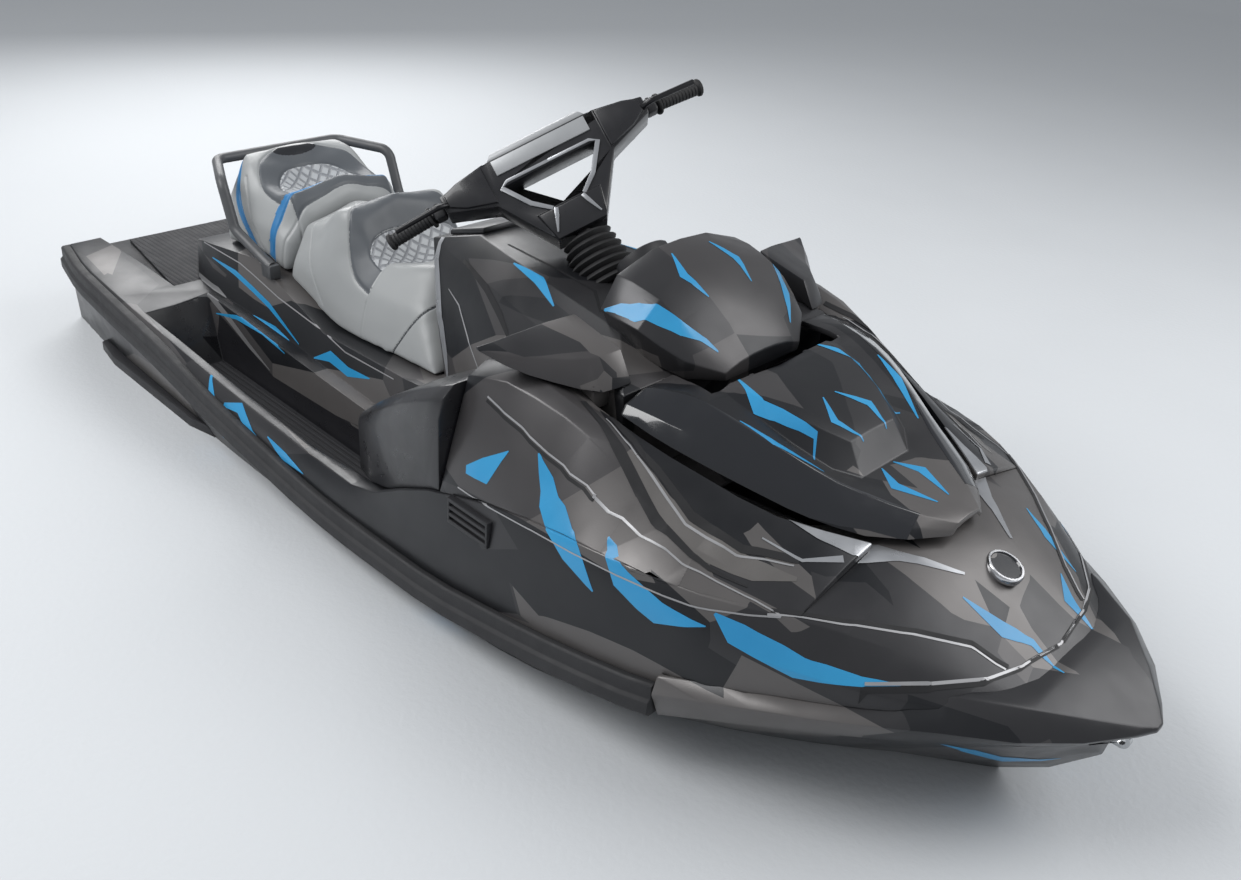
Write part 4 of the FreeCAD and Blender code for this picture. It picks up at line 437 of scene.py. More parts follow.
# Slashes inside the craft, on the seat pedestal, seen from each side, and on the
# console, the visor and the hood, seen from above.
PEDESTAL_BAND = (0.0, 0.365)
PEDESTAL_SLASHES = (
    ((-1.100, 0.340, 0.003), (-0.980, 0.330, 0.016),
     (-0.800, 0.290, 0.016), (-0.640, 0.230, 0.003)),
    ((-1.020, 0.200, 0.003), (-0.900, 0.230, 0.014),
     (-0.760, 0.235, 0.014), (-0.640, 0.215, 0.003)),
    ((-0.560, 0.220, 0.003), (-0.490, 0.250, 0.030),
     (-0.400, 0.240, 0.026), (-0.300, 0.260, 0.003)),
)
# Painted highlight: a pale line along the pedestal's top edge.
PEDESTAL_EDGE = ((-1.150, 0.372, 0.003), (-0.960, 0.364, 0.004), (-0.760, 0.326, 0.004),
                 (-0.554, 0.304, 0.004), (-0.424, 0.286, 0.004), (-0.200, 0.298, 0.003))
PALE_BLADE = ((-1.180, 0.262, 0.014), (-1.060, 0.250, 0.026), (-0.940, 0.208, 0.022),
              (-0.830, 0.166, 0.016), (-0.720, 0.132, 0.002))
CONSOLE_SLASHES = (
    ((0.250, 0.262, 0.004), (0.345, 0.276, 0.032), (0.430, 0.318, 0.003)),
    ((0.090, 0.140, 0.003), (0.200, 0.160, 0.022), (0.300, 0.205, 0.003)),
)
VISOR_SLASHES = (
    ((0.480, 0.232, 0.003), (0.560, 0.216, 0.030), (0.640, 0.170, 0.022), (0.700, 0.120, 0.003)),
    ((0.500, 0.060, 0.003), (0.560, 0.085, 0.022), (0.620, 0.070, 0.003)),
)
HOOD_SLASHES = (
    ((0.760, 0.130, 0.003), (0.850, 0.165, 0.030), (0.960, 0.120, 0.012), (0.985, 0.150, 0.003)),
    ((0.900, 0.020, 0.003), (0.960, 0.060, 0.020), (1.020, 0.040, 0.003)),
    ((1.060, 0.020, 0.003), (1.110, 0.048, 0.026), (1.190, 0.020, 0.003)),
    ((0.860, 0.235, 0.003), (0.930, 0.214, 0.018), (1.020, 0.166, 0.003)),
)
for side_name, side in SIDES:
    for name, lines, colour in (("blue_pedestal_", PEDESTAL_SLASHES, film_blue),
                                ("pedestal_edge_", (PEDESTAL_EDGE,), film_edge_highlight),
                                ("footwell_blade_", (PALE_BLADE,), film_pale)):
        film(name + side_name, [skins["deck"]], side_name, strokes(lines), colour,
             band=PEDESTAL_BAND, seen=False)
for number, (node, lines, body) in enumerate((("console", CONSOLE_SLASHES, "root"),
                                              ("windshield", VISOR_SLASHES, "root"),
                                              ("hood", HOOD_SLASHES, "hood"))):
    film("blue_slashes_%d" % (number + 1), [skins[node]], "top", mirrored(lines), film_blue,
         body=body)

# Panel gaps with painted shade at the shoulder and under the hood's edge, and fine pale lines beside
# them that are painted highlights: on each side, then from above.
BELT_EDGE = ((0.410, 0.385, 0.003), (0.640, 0.400, 0.003), (1.000, 0.405, 0.003),
             (1.140, 0.420, 0.003))
RIDGE_EDGE = ((0.425, 0.582, 0.004), (0.530, 0.560, 0.004), (0.735, 0.498, 0.003))
GUNWALE_EDGE = ((0.730, 0.490, 0.004), (0.950, 0.465, 0.004), (1.140, 0.420, 0.003))
HOOD_EDGE = ((0.660, 0.395, 0.003), (0.760, 0.410, 0.004), (0.900, 0.415, 0.004),
             (1.005, 0.390, 0.004), (1.095, 0.335, 0.003))
NOSE_EDGE = ((1.120, 0.435, 0.003), (1.220, 0.350, 0.004), (1.390, 0.185, 0.004),
             (1.450, 0.155, 0.004))
BUMPER_EDGE = ((1.300, 0.375, 0.004), (1.380, 0.290, 0.005), (1.440, 0.200, 0.005),
               (1.465, 0.120, 0.004), (1.480, 0.0, 0.004))
# Painted shade: a wide black strip standing in for the shaded recess at the shoulder.
SHOULDER_RECESS_SHADE = ((0.600, 0.400, 0.014), (0.715, 0.425, 0.018), (0.850, 0.445, 0.018),
                (0.985, 0.440, 0.010), (1.060, 0.420, 0.003))


def beside(line, shift, width):
    """The gap that runs along a line, shifted up or to port of it."""
    return [(right, up + shift, width) for right, up, _ in line]


SIDE_HIGHLIGHTS = (BELT_EDGE, RIDGE_EDGE)
SIDE_GAPS = (beside(RIDGE_EDGE, -0.008, 0.006),)
TOP_HIGHLIGHTS = (NOSE_EDGE, GUNWALE_EDGE, BUMPER_EDGE, HOOD_EDGE)
# The black strip beside the hood's edge is painted shadow under its overhang; the nose and bumper
# strips are joints.
TOP_GAPS_AND_SHADE = (SHOULDER_RECESS_SHADE, beside(HOOD_EDGE, -0.014, 0.014), beside(NOSE_EDGE, -0.009, 0.008),
            beside(BUMPER_EDGE, 0.010, 0.008))
WARM_PANEL = ((0.745, 0.414, 0.014), (0.850, 0.425, 0.034), (0.960, 0.416, 0.044),
              (1.050, 0.388, 0.038), (1.115, 0.350, 0.008))
LINE_LIFT = 0.0005 + FILM_LIFT
for side_name, side in SIDES:
    flank = [skins["side_fairing_" + side_name], skins["deck"]]
    # Painted highlights: pale lines along the belt and ridge edges.
    film("belt_highlight_" + side_name, flank, side_name, strokes(SIDE_HIGHLIGHTS), film_edge_highlight,
         lift=LINE_LIFT)
    film("belt_gap_" + side_name, flank, side_name, strokes(SIDE_GAPS), film_gap_and_shade,
         lift=LINE_LIFT)
    way = opposite if side < 0.0 else list
    # Painted highlights: pale lines along the nose, gunwale, bumper and hood edges.
    film("nose_highlight_" + side_name, flank, "top", strokes(map(way, TOP_HIGHLIGHTS)), film_edge_highlight,
         lift=LINE_LIFT)
    film("warm_panel_" + side_name, flank[:1], "top", stroke(way(WARM_PANEL)), film_warm)
    # Black joints, with painted shade at the shoulder recess and under the hood's edge.
    film("nose_gap_and_shade_" + side_name, flank, "top", strokes(map(way, TOP_GAPS_AND_SHADE)), film_gap_and_shade,
         lift=LINE_LIFT)

# Console: joints round its lids.
CONSOLE_GAPS = (
    ((-0.080, 0.150, 0.007), (0.060, 0.196, 0.008), (0.152, 0.232, 0.008), (0.220, 0.262, 0.004)),
    ((0.000, 0.080, 0.006), (0.193, 0.092, 0.008), (0.330, 0.110, 0.008), (0.420, 0.180, 0.006)),
)
film("console_gaps", [skins["console"]], "top", mirrored(CONSOLE_GAPS), film_gap_and_shade)

# ---------------------------------------------------------------------------
# Hood and console trims. Gloss black side panels run from the hinge to the
# hood's tip, with a silver blade below each and a silver band at the seat.
# A bare dished roundel with a bright rim stands on the nose.
# ---------------------------------------------------------------------------
gloss_black = finish("gloss_black", (0.006, 0.007, 0.010), (0.011, 0.012, 0.016), 0.14, coat=0.7,
                     grain=200.0, relief=0.00005, cloud=3.0)
silver = finish("silver_paint", (0.40, 0.41, 0.43), (0.50, 0.51, 0.53), 0.30, metallic=0.75,
                grain=900.0, relief=0.00008)
chrome = finish("bright_rim", (0.60, 0.60, 0.62), (0.70, 0.70, 0.71), 0.12, metallic=1.0,
                grain=400.0, relief=0.00002)

PANEL_LIFT = 0.0004
BLADE_LIFT = 0.0012
# Edge of the side panel on the hood's crown, then along the hood's lower edge.
PANEL_TOP = ((0.670, 0.292), (0.760, 0.262), (0.870, 0.236), (0.985, 0.196), (1.100, 0.132),
             (1.190, 0.082))
PANEL_LOW = ((0.670, 0.370), (0.760, 0.362), (0.870, 0.330), (0.985, 0.286), (1.100, 0.214),
             (1.200, 0.134))
for side_name, side in SIDES:
    top = [(x, side * y) for x, y in PANEL_TOP]
    low = [(x, side * y) for x, y in PANEL_LOW]
    outlines = [[top[i], top[i + 1], low[i + 1], low[i]] for i in range(len(top) - 1)]
    film("hood_side_panel_" + side_name, [skins["hood"]], "top", outlines, gloss_black,
         body="hood", lift=PANEL_LIFT)

CONSOLE_BAND = ((-0.218, 0.636, 0.014), (-0.204, 0.586, 0.026), (-0.150, 0.536, 0.028),
                (-0.086, 0.476, 0.028), (-0.046, 0.416, 0.024), (-0.018, 0.366, 0.008))
# Painted highlight: a pale line along the console's edge.
CONSOLE_EDGE = ((-0.100, 0.556, 0.002), (-0.030, 0.544, 0.004), (0.060, 0.500, 0.004),
                (0.140, 0.450, 0.004), (0.230, 0.418, 0.003))
BLADE = ((0.800, 0.322, 0.010), (0.905, 0.302, 0.022), (1.010, 0.268, 0.030),
         (1.085, 0.236, 0.058), (1.140, 0.216, 0.062), (1.205, 0.160, 0.026),
         (1.305, 0.088, 0.006))
BLADE_FOOT = ((1.020, 0.338, 0.003), (1.100, 0.318, 0.006), (1.150, 0.262, 0.014))
for side_name, side in SIDES:
    way = opposite if side < 0.0 else list
    film("nose_blade_" + side_name, [skins["deck"], skins["side_fairing_" + side_name]], "top",
         strokes(map(way, (BLADE, BLADE_FOOT))), silver, lift=BLADE_LIFT)
    film("console_band_" + side_name, [skins["console"]], side_name, stroke(CONSOLE_BAND),
         silver)
    film("console_edge_" + side_name, [skins["console"]], side_name, stroke(CONSOLE_EDGE),
         film_edge_highlight)

# Roundel: a shallow dish inside a raised rim, spun about the nose's own slope.
ROUNDEL_PLACE = Vector((1.341, 0.0, 0.4425))
ROUNDEL_TILT = math.radians(19.0)
DISH_RADIUS = 0.0325
ROUNDEL_PROFILE = ((0.0, 0.0025), (0.030, 0.0025), (DISH_RADIUS, 0.0060), (0.0365, 0.0060),
                   (0.0390, 0.0020), (0.0390, -0.0080))


def spun(profile, place, segments=64):
    """A profile of radius and height turned once round its own upright axis."""
    mesh = bmesh.new()
    verts = [mesh.verts.new((radius, 0.0, height)) for radius, height in profile]
    edges = [mesh.edges.new(pair) for pair in zip(verts, verts[1:])]
    bmesh.ops.spin(mesh, geom=verts + edges, cent=(0, 0, 0), axis=(0, 0, 1),
                   angle=2.0 * math.pi, steps=segments, use_merge=True)
    bmesh.ops.remove_doubles(mesh, verts=mesh.verts, dist=NEAREST)
    bmesh.ops.recalc_face_normals(mesh, faces=mesh.faces)
    bmesh.ops.transform(mesh, matrix=place, verts=mesh.verts)
    return creased(mesh)


roundel_frame = Matrix.Translation(ROUNDEL_PLACE) @ Matrix.Rotation(ROUNDEL_TILT, 4, "Y")
roundel = piece("nose_roundel", spun(ROUNDEL_PROFILE, roundel_frame), chrome)
roundel.data.materials.append(gloss_black)
for face in roundel.data.polygons:
    inner = (roundel_frame.inverted() @ face.center).xy.length < DISH_RADIUS
    face.material_index = 1 if inner else 0

# ---------------------------------------------------------------------------
# Black plastics and rubber: rub rails pushed on to the sheer flange, splash
# guards, side vents, sponsons, storage tub and reverse gate.
# They are moulded with a fine grain and bolted or clipped from inside.
# ---------------------------------------------------------------------------
black_plastic = finish("black_plastic", (0.012, 0.012, 0.014), (0.024, 0.024, 0.027), 0.46,
                       grain=900.0, relief=0.0004)
satin_black = finish("satin_black", (0.010, 0.010, 0.012), (0.018, 0.018, 0.021), 0.30,
                     coat=0.2, grain=500.0, relief=0.0001)
rail_rubber = finish("rail_rubber", (0.014, 0.014, 0.016), (0.028, 0.028, 0.030), 0.62,
                     grain=500.0, relief=0.0004, cloud=9.0)
for side_name, side in SIDES:
    moulding("rub_rail_" + side_name, rail_rubber, radius=0.002)
    moulding("splash_guard_" + side_name, satin_black, radius=0.005)
    moulding("side_vent_" + side_name, black_plastic, radius=0.0012)
    moulding("sponson_" + side_name, black_plastic)
moulding("storage_tub", black_plastic, radius=0.002)
moulding("reverse_gate", black_plastic, radius=0.0015, body="reverse_gate")

# ---------------------------------------------------------------------------
# Foam mats, glued into the footwells and on the rear platform. The foam is
# cut with long narrow grooves that let water run aft.
# ---------------------------------------------------------------------------
GROOVES_PER_METRE = 62.0
GROOVE_DEPTH = 0.0025
WAVES_PER_METRE = 3.18  # of a wave texture at a scale of 1


def grooved_foam():
    """Foam whose ridges run fore and aft and repeat across the craft."""
    material = finish("grooved_foam", (0.020, 0.020, 0.023), (0.036, 0.036, 0.040), 0.72,
                      grain=1200.0, relief=0.0003)
    tree = material.node_tree
    place = tree.nodes.new("ShaderNodeTexCoord")
    waves = tree.nodes.new("ShaderNodeTexWave")
    waves.wave_type = "BANDS"
    waves.bands_direction = "Y"
    waves.inputs["Scale"].default_value = GROOVES_PER_METRE / WAVES_PER_METRE
    waves.inputs["Distortion"].default_value = 0.0
    tree.links.new(place.outputs["Object"], waves.inputs["Vector"])
    raised(tree, spread_value(tree, waves.outputs["Fac"], 0.0, 1.0, 0.25, 0.55), GROOVE_DEPTH, 1.0)
    return material


foam = grooved_foam()
for node in ("floor_mat_left", "floor_mat_right", "platform_mat"):
    moulding(node, foam, radius=0.0025)

# ---------------------------------------------------------------------------
# Footwells. The ends and outer wall of each are given satin black, and a black
# film covers the foot of the pedestal beside the mat: painted shade for the shadow inside each well.
# ---------------------------------------------------------------------------
WELL_X = (-1.06, 0.16)
WELL_Y = (0.33, 0.56)
WELL_TOP = 0.200
SIDEWAYS, OVERHANG = 0.5, -0.2
WELL_SHADE_PANELS = (((-1.030, 0.062), (-0.700, 0.062), (-0.700, 0.120), (-1.000, 0.205)),
               ((-0.700, 0.062), (0.090, 0.062), (0.060, 0.150), (-0.700, 0.120)))
deck_skin = skins["deck"]
# Painted shade: faces of each well's ends and outer wall take satin black.
deck_skin.data.materials.append(satin_black)
for face in deck_skin.data.polygons:
    place, normal = face.center, face.normal
    walled = abs(normal.y) < SIDEWAYS or normal.y * place.y < 0.0
    if (WELL_X[0] < place.x < WELL_X[1] and WELL_Y[0] < abs(place.y) < WELL_Y[1]
            and place.z < WELL_TOP and walled and normal.z > OVERHANG):
        face.material_index = len(deck_skin.data.materials) - 1
# Painted shade: black film on the foot of the pedestal, where the well lies in shadow.
for side_name, side in SIDES:
    film("well_shade_panel_" + side_name, [deck_skin], side_name, WELL_SHADE_PANELS, satin_black,
         band=PEDESTAL_BAND, seen=False)

# ---------------------------------------------------------------------------
# Seats: a foam core under stretched marine vinyl, sewn from silver side
# panels, slate bolsters and pale quilted tops, with a blue side band aft.
# Each lifts off its latches, and its foot is pulled flat over the base.
# ---------------------------------------------------------------------------
VOXEL = 0.006
PUFF = 0.004
SHRINK = 0.004
CLOTH_FRAMES = 20
ROUNDS_BEFORE, ROUNDS_AFTER = 20, 24
UNDERSIDE = -0.45
WAVE_LENGTH = 0.314  # of a wave texture at a scale of 1
DIAMOND_PITCH = 0.024
DIAMOND_DEPTH = 0.004
DIAMOND_TURN = math.radians(40.0)


def vinyl(name, dark, light, roughness=0.42, relief=0.00035):
    return finish(name, dark, light, roughness, coat=0.05, grain=520.0, relief=relief,
                  cloud=4.0)


def quilted(name, dark, light):
    """Pale vinyl stitched through to the foam in small diamonds, with painted shade darkening the
    stitched grooves.
    """
    material = vinyl(name, dark, light, 0.5)
    tree = material.node_tree
    place = tree.nodes.new("ShaderNodeTexCoord")
    heights = []
    for turn in (DIAMOND_TURN, -DIAMOND_TURN):
        mapping = tree.nodes.new("ShaderNodeMapping")
        mapping.inputs["Rotation"].default_value = (0.0, 0.0, turn)
        waves = tree.nodes.new("ShaderNodeTexWave")
        waves.inputs["Scale"].default_value = WAVE_LENGTH / DIAMOND_PITCH
        tree.links.new(place.outputs["Object"], mapping.inputs["Vector"])
        tree.links.new(mapping.outputs["Vector"], waves.inputs["Vector"])
        heights.append(spread_value(tree, waves.outputs["Fac"], 0.0, 1.0, 0.0, 0.30))
    pad = tree.nodes.new("ShaderNodeMath")
    pad.operation = "MINIMUM"
    for socket, height in zip(pad.inputs, heights):
        tree.links.new(height, socket)
    raised(tree, pad.outputs["Value"], DIAMOND_DEPTH, 0.9)
    # Painted shade: the colour darkens down into each stitched groove.
    shader = tree.nodes["Principled BSDF"]
    base = shader.inputs["Base Color"].links[0].from_socket
    tree.links.new(mixed(tree, pad.outputs["Value"], (dark[0] * 0.6, dark[1] * 0.6,
                                                      dark[2] * 0.62), base),
                   shader.inputs["Base Color"])
    return material


seat_silver = vinyl("seat_silver_vinyl", (0.300, 0.310, 0.312), (0.360, 0.370, 0.372))
seat_slate = vinyl("seat_slate_vinyl", (0.070, 0.078, 0.088), (0.105, 0.114, 0.125), 0.46)
seat_pale = quilted("seat_quilted_vinyl", (0.40, 0.415, 0.43), (0.47, 0.485, 0.50))
seat_blue = vinyl("seat_blue_vinyl", (0.018, 0.150, 0.36), (0.030, 0.200, 0.44))
seat_thread = finish("seat_piping", (0.045, 0.050, 0.056), (0.070, 0.075, 0.080), 0.6,
                     grain=1500.0, relief=0.0003)


def settle(item):
    """Inflates the closed cover as cloth, within reach of its foam and flat below."""
    before = [vertex.co.copy() for vertex in item.data.vertices]
    under = [vertex.normal.z < UNDERSIDE for vertex in item.data.vertices]
    cloth = item.modifiers.new("cloth", "CLOTH")
    cloth.settings.use_pressure = True
    cloth.settings.uniform_pressure_force = 4.0
    cloth.settings.effector_weights.gravity = 0.0
    cloth.settings.quality = 4
    cloth.point_cache.frame_end = CLOTH_FRAMES
    for number in range(1, CLOTH_FRAMES + 1):
        scene.frame_set(number)
    shape = item.evaluated_get(bpy.context.evaluated_depsgraph_get())
    after = [vertex.co.copy() for vertex in shape.data.vertices]
    item.modifiers.remove(cloth)
    scene.frame_set(1)
    for vertex, old, new, flat in zip(item.data.vertices, before, after, under):
        move = Vector() if flat else new - old
        if move.length > PUFF:
            move = move.normalized() * PUFF
        vertex.co = old + move


def smoothed(item, rounds):
    soft = bmesh.new()
    soft.from_mesh(item.data)
    for _ in range(rounds):
        bmesh.ops.smooth_vert(soft, verts=soft.verts, factor=0.5, use_axis_x=True,
                              use_axis_y=True, use_axis_z=True)
    soft.to_mesh(item.data)
    soft.free()


def applied(item, modifier):
    """Takes a modifier's result into the piece's own mesh."""
    shape = item.evaluated_get(bpy.context.evaluated_depsgraph_get())
    made = bmesh.new()
    made.from_mesh(shape.to_mesh())
    shape.to_mesh_clear()
    item.modifiers.remove(modifier)
    made.to_mesh(item.data)
    made.free()


def padded_seat(node):
    """The seat's foam as one soft form, before its seams are drawn."""
    mesh = merged(node)
    mesh.normal_update()
    for vertex in mesh.verts:
        vertex.co -= vertex.normal * SHRINK
    item = piece(node + "_cover", mesh, seat_silver, replaced=(node,))
    voxels = item.modifiers.new("voxels", "REMESH")
    voxels.mode = "VOXEL"
    voxels.voxel_size = VOXEL
    applied(item, voxels)
    smoothed(item, ROUNDS_BEFORE)
    settle(item)
    smoothed(item, ROUNDS_AFTER)
    finer = item.modifiers.new("finer", "SUBSURF")
    finer.levels = finer.render_levels = 1
    applied(item, finer)
    for face in item.data.polygons:
        face.use_smooth = True
    return item


def horseshoe(place, middle, depth, half):
    """1 on the edge of a rounded form that opens forward, less inside it."""
    return math.hypot(min(place.x - middle, 0.0) / depth, place.y / half)


def line_gap(place, first, last):
    """Distance in metres, seen from the side, from a straight seam."""
    start = Vector((first[0], first[1]))
    run = Vector((last[0], last[1])) - start
    here = Vector((place.x, place.z)) - start
    share = min(max(here.dot(run) / run.length_squared, 0.0), 1.0)
    return (here - run * share).length


# Edges of each seat's bolster: middle of its arc, its depth and its half width.
REAR_OUTER = (-0.930, 0.166, 0.182)
REAR_INNER = (-0.930, 0.104, 0.128)
FRONT_OUTER = (-0.470, 0.146, 0.196)
FRONT_INNER = (-0.470, 0.052, 0.150)
# Seams across the seats, and the bare badge: its middle, half length and half width.
REAR_FRONT = (-0.868, -0.842, -0.806)
REAR_HALF = 0.165
FRONT_EDGE = -0.425
BADGE = (-1.076, 0.017, 0.072)
# Seams down the sides, each from its upper end to its foot, and the piping round
# the nose: its place and height, and its slope.
BAND = ((-1.098, 0.610), (-0.930, 0.400))
BAND_HALF = 0.012
BAND_INNER = 0.1
REAR_PANEL = ((-1.030, 0.590), (-0.900, 0.420))
FRONT_PANEL = ((-0.735, 0.540), (-0.600, 0.350))
NOSE_GAP = (-0.205, 0.470, 0.55)
PIPING_HALF = 0.003
SEAM_WIDTH = 0.0032
SEAM_DEPTH = 0.0030
SEAM_REACH = 3.0 * SEAM_WIDTH
SEAM_FACING = -0.5
NO_SEAM = 1.0
# Panels of a cover, by the place of their vinyl in its list.
SILVER, SLATE, PALE, BLUE_BAND, BLUE_COLLAR, BARE_BADGE = range(6)
PIPING = 3


def rear_cover(place, normal):
    """Panel of the rear seat at a place, and distance to its nearest seam."""
    outer = horseshoe(place, *REAR_OUTER)
    inner = horseshoe(place, *REAR_INNER)
    on_top = normal.z > 0.10
    badge = math.hypot((place.x - BADGE[0]) / BADGE[1], place.y / BADGE[2])
    if badge < 1.0 and on_top:
        return BARE_BADGE, NO_SEAM
    seams = [abs(outer - 1.0) * REAR_OUTER[2], abs(inner - 1.0) * REAR_INNER[2]]
    if place.x > REAR_FRONT[0]:
        seams = [abs(place.x - x) for x in REAR_FRONT]
        if place.x < REAR_FRONT[1] and normal.z > -0.1:
            return BLUE_COLLAR, min(seams)
        inside = abs(place.y) < REAR_HALF and place.x < REAR_FRONT[2] and on_top
        return (SLATE if inside else SILVER), min(seams + [abs(abs(place.y) - REAR_HALF)])
    if on_top and inner < 1.0:
        return PALE, min(seams)
    if on_top and outer < 1.0:
        return SLATE, min(seams)
    band = line_gap(place, *BAND)
    seams += [abs(band - BAND_HALF), line_gap(place, *REAR_PANEL)]
    banded = band < BAND_HALF and abs(place.y) > BAND_INNER
    return (BLUE_BAND if banded else SILVER), min(seams)


def front_cover(place, normal):
    """Panel of the front seat at a place, and distance to its nearest seam."""
    outer = horseshoe(place, *FRONT_OUTER)
    inner = horseshoe(place, *FRONT_INNER)
    on_top = normal.z > 0.05
    seams = [abs(outer - 1.0) * FRONT_OUTER[2], abs(inner - 1.0) * FRONT_INNER[2]]
    nose = abs(place.x - NOSE_GAP[0] - NOSE_GAP[2] * (place.z - NOSE_GAP[1]))
    if nose < PIPING_HALF:
        return PIPING, nose
    if place.x > FRONT_EDGE:
        return SILVER, min(abs(place.x - FRONT_EDGE), nose)
    if on_top and inner < 1.0:
        return PALE, min(seams + [abs(place.x - FRONT_EDGE)])
    if on_top and outer < 1.0:
        return SLATE, min(seams)
    if place.x < FRONT_PANEL[1][0]:
        seams.append(line_gap(place, *FRONT_PANEL))
    return SILVER, min(seams)


def tailored(item, cover, materials):
    """Sews the cover: each panel its vinyl, with the seams drawn down into the foam."""
    for material in materials:
        item.data.materials.append(material)
    normals = [vertex.normal.copy() for vertex in item.data.vertices]
    for vertex, normal in zip(item.data.vertices, normals):
        gap = cover(vertex.co, normal)[1]
        if normal.z > SEAM_FACING and gap < SEAM_REACH:
            vertex.co -= normal * SEAM_DEPTH * math.exp(-(gap / SEAM_WIDTH) ** 2)
    for face in item.data.polygons:
        face.material_index = cover(face.center, face.normal)[0]


rear_seat = padded_seat("seat_rear")
front_seat = padded_seat("seat_front")
tailored(rear_seat, rear_cover, (seat_slate, seat_pale, seat_blue, seat_blue, gloss_black))
tailored(front_seat, front_cover, (seat_slate, seat_pale, seat_thread))

# ---------------------------------------------------------------------------
# Steering: a ribbed rubber boot round the column, a moulded cover with a
# window through it, silver trims and a pad, and a black tube with rubber
# grips, switch pods and levers. All but the boot turn with the bar.
# ---------------------------------------------------------------------------
black_rubber = finish("black_rubber", (0.010, 0.010, 0.011), (0.020, 0.020, 0.021), 0.58,
                      grain=1200.0, relief=0.0004, cloud=12.0)
black_metal = finish("black_metal", (0.012, 0.012, 0.014), (0.020, 0.020, 0.022), 0.34,
                     metallic=0.4, grain=600.0, relief=0.0001)
silver_vinyl = finish("silver_pad", (0.34, 0.35, 0.36), (0.42, 0.43, 0.44), 0.40, metallic=0.25,
                      grain=700.0, relief=0.0003)

BAR_CENTRE = Vector((0.034, 0.0, 0.881))
COLUMN_RAKE = math.radians(-46.0)
BAR_TURN = math.radians(-37.0)
column_frame = Matrix.Translation(BAR_CENTRE) @ Matrix.Rotation(COLUMN_RAKE, 4, "Y")
bar_frame = column_frame @ Matrix.Rotation(BAR_TURN, 4, "Z")

# Bellows: seven folds, from the console up to just under the cover.
BOOT_LOW, BOOT_HIGH = -0.340, -0.203
BOOT_WIDE, BOOT_SLIM = 0.084, 0.058
FOLDS = 7
FOLD_DEPTH, FOLD_ROUND = 0.010, 0.002
BOOT_LIP, BOOT_BORE = 0.012, 0.024
profile = []
for fold in range(FOLDS):
    share = fold / FOLDS
    height = BOOT_LOW + (BOOT_HIGH - BOOT_LOW) * share
    step = (BOOT_HIGH - BOOT_LOW) / FOLDS
    outside = BOOT_WIDE + (BOOT_SLIM - BOOT_WIDE) * share
    profile += [(outside - FOLD_DEPTH, height), (outside - FOLD_ROUND, height + 0.30 * step),
                (outside, height + 0.45 * step), (outside - FOLD_ROUND, height + 0.60 * step)]
profile += [(BOOT_SLIM - BOOT_LIP, BOOT_HIGH - 0.002), (BOOT_BORE, BOOT_HIGH - 0.001)]
piece("steering_bellows", spun(profile, column_frame, 48), black_rubber,
      replaced=("steering_boot",))

moulding("steering_cover", satin_black, radius=0.004, body="steering")
moulding("steering_column", black_metal, radius=0.001, body="steering")
moulding("bar_pad", silver_vinyl, radius=0.003, body="steering")
moulding("handlebar", black_metal, radius=0.001, body="steering")
for side_name, side in SIDES:
    moulding("lever_" + side_name, black_metal, radius=0.0008, body="steering")

# Silver trims round the window and down the tower, and the pad's silver face:
# a line across and up the cover, raised off its front and rear faces.
WINDOW_TRIM = ((0.000, -0.018, 0.007), (0.106, -0.018, 0.007), (0.124, -0.028, 0.011),
               (0.080, -0.090, 0.011), (0.040, -0.123, 0.009))
TOWER_TRIM = ((0.034, -0.126, 0.010), (0.040, -0.142, 0.010), (0.056, -0.180, 0.004))
COVER_FACE, TOWER_FACE = 0.044, 0.050
PAD_FACE = ((-0.120, 0.021, 0.036), (0.120, 0.021, 0.036))
TRIM_THICK = 0.004
TRIM_SUNK = 0.002
TRIM_ROUND = 0.001
TRIM_TURN = math.radians(50.0)


def ribbon(mesh, lines, face_x):
    """Raised strips along lines on one face of the cover, closed and bevelled."""
    out = 1.0 if face_x > 0.0 else -1.0
    for line in lines:
        strips = bmesh.new()
        for outline in stroke(line):
            strips.faces.new([strips.verts.new((face_x - out * TRIM_SUNK, y, z)) for y, z in outline])
        bmesh.ops.remove_doubles(strips, verts=strips.verts, dist=FILM_JOIN)
        bmesh.ops.recalc_face_normals(strips, faces=strips.faces)
        made = bmesh.ops.extrude_face_region(strips, geom=strips.faces[:])
        moved = [item for item in made["geom"] if isinstance(item, bmesh.types.BMVert)]
        bmesh.ops.translate(strips, verts=moved, vec=(out * (TRIM_THICK + TRIM_SUNK), 0.0, 0.0))
        bmesh.ops.recalc_face_normals(strips, faces=strips.faces)
        sharp = [edge for edge in strips.edges if edge.calc_face_angle(0.0) > TRIM_TURN]
        bevelled(strips, sharp, TRIM_ROUND)
        bmesh.ops.transform(strips, matrix=bar_frame, verts=strips.verts)
        added(mesh, creased(strips))


for face_name, out in (("front", 1.0), ("rear", -1.0)):
    trim = bmesh.new()
    for line, depth in ((WINDOW_TRIM, COVER_FACE), (TOWER_TRIM, TOWER_FACE)):
        ribbon(trim, (line, [(-y, z, width) for y, z, width in line]), out * depth)
    piece("cover_trim_" + face_name, trim, silver, body="steering")
pad_face = bmesh.new()
ribbon(pad_face, (PAD_FACE,), COVER_FACE)
piece("pad_face", pad_face, silver_vinyl, body="steering")

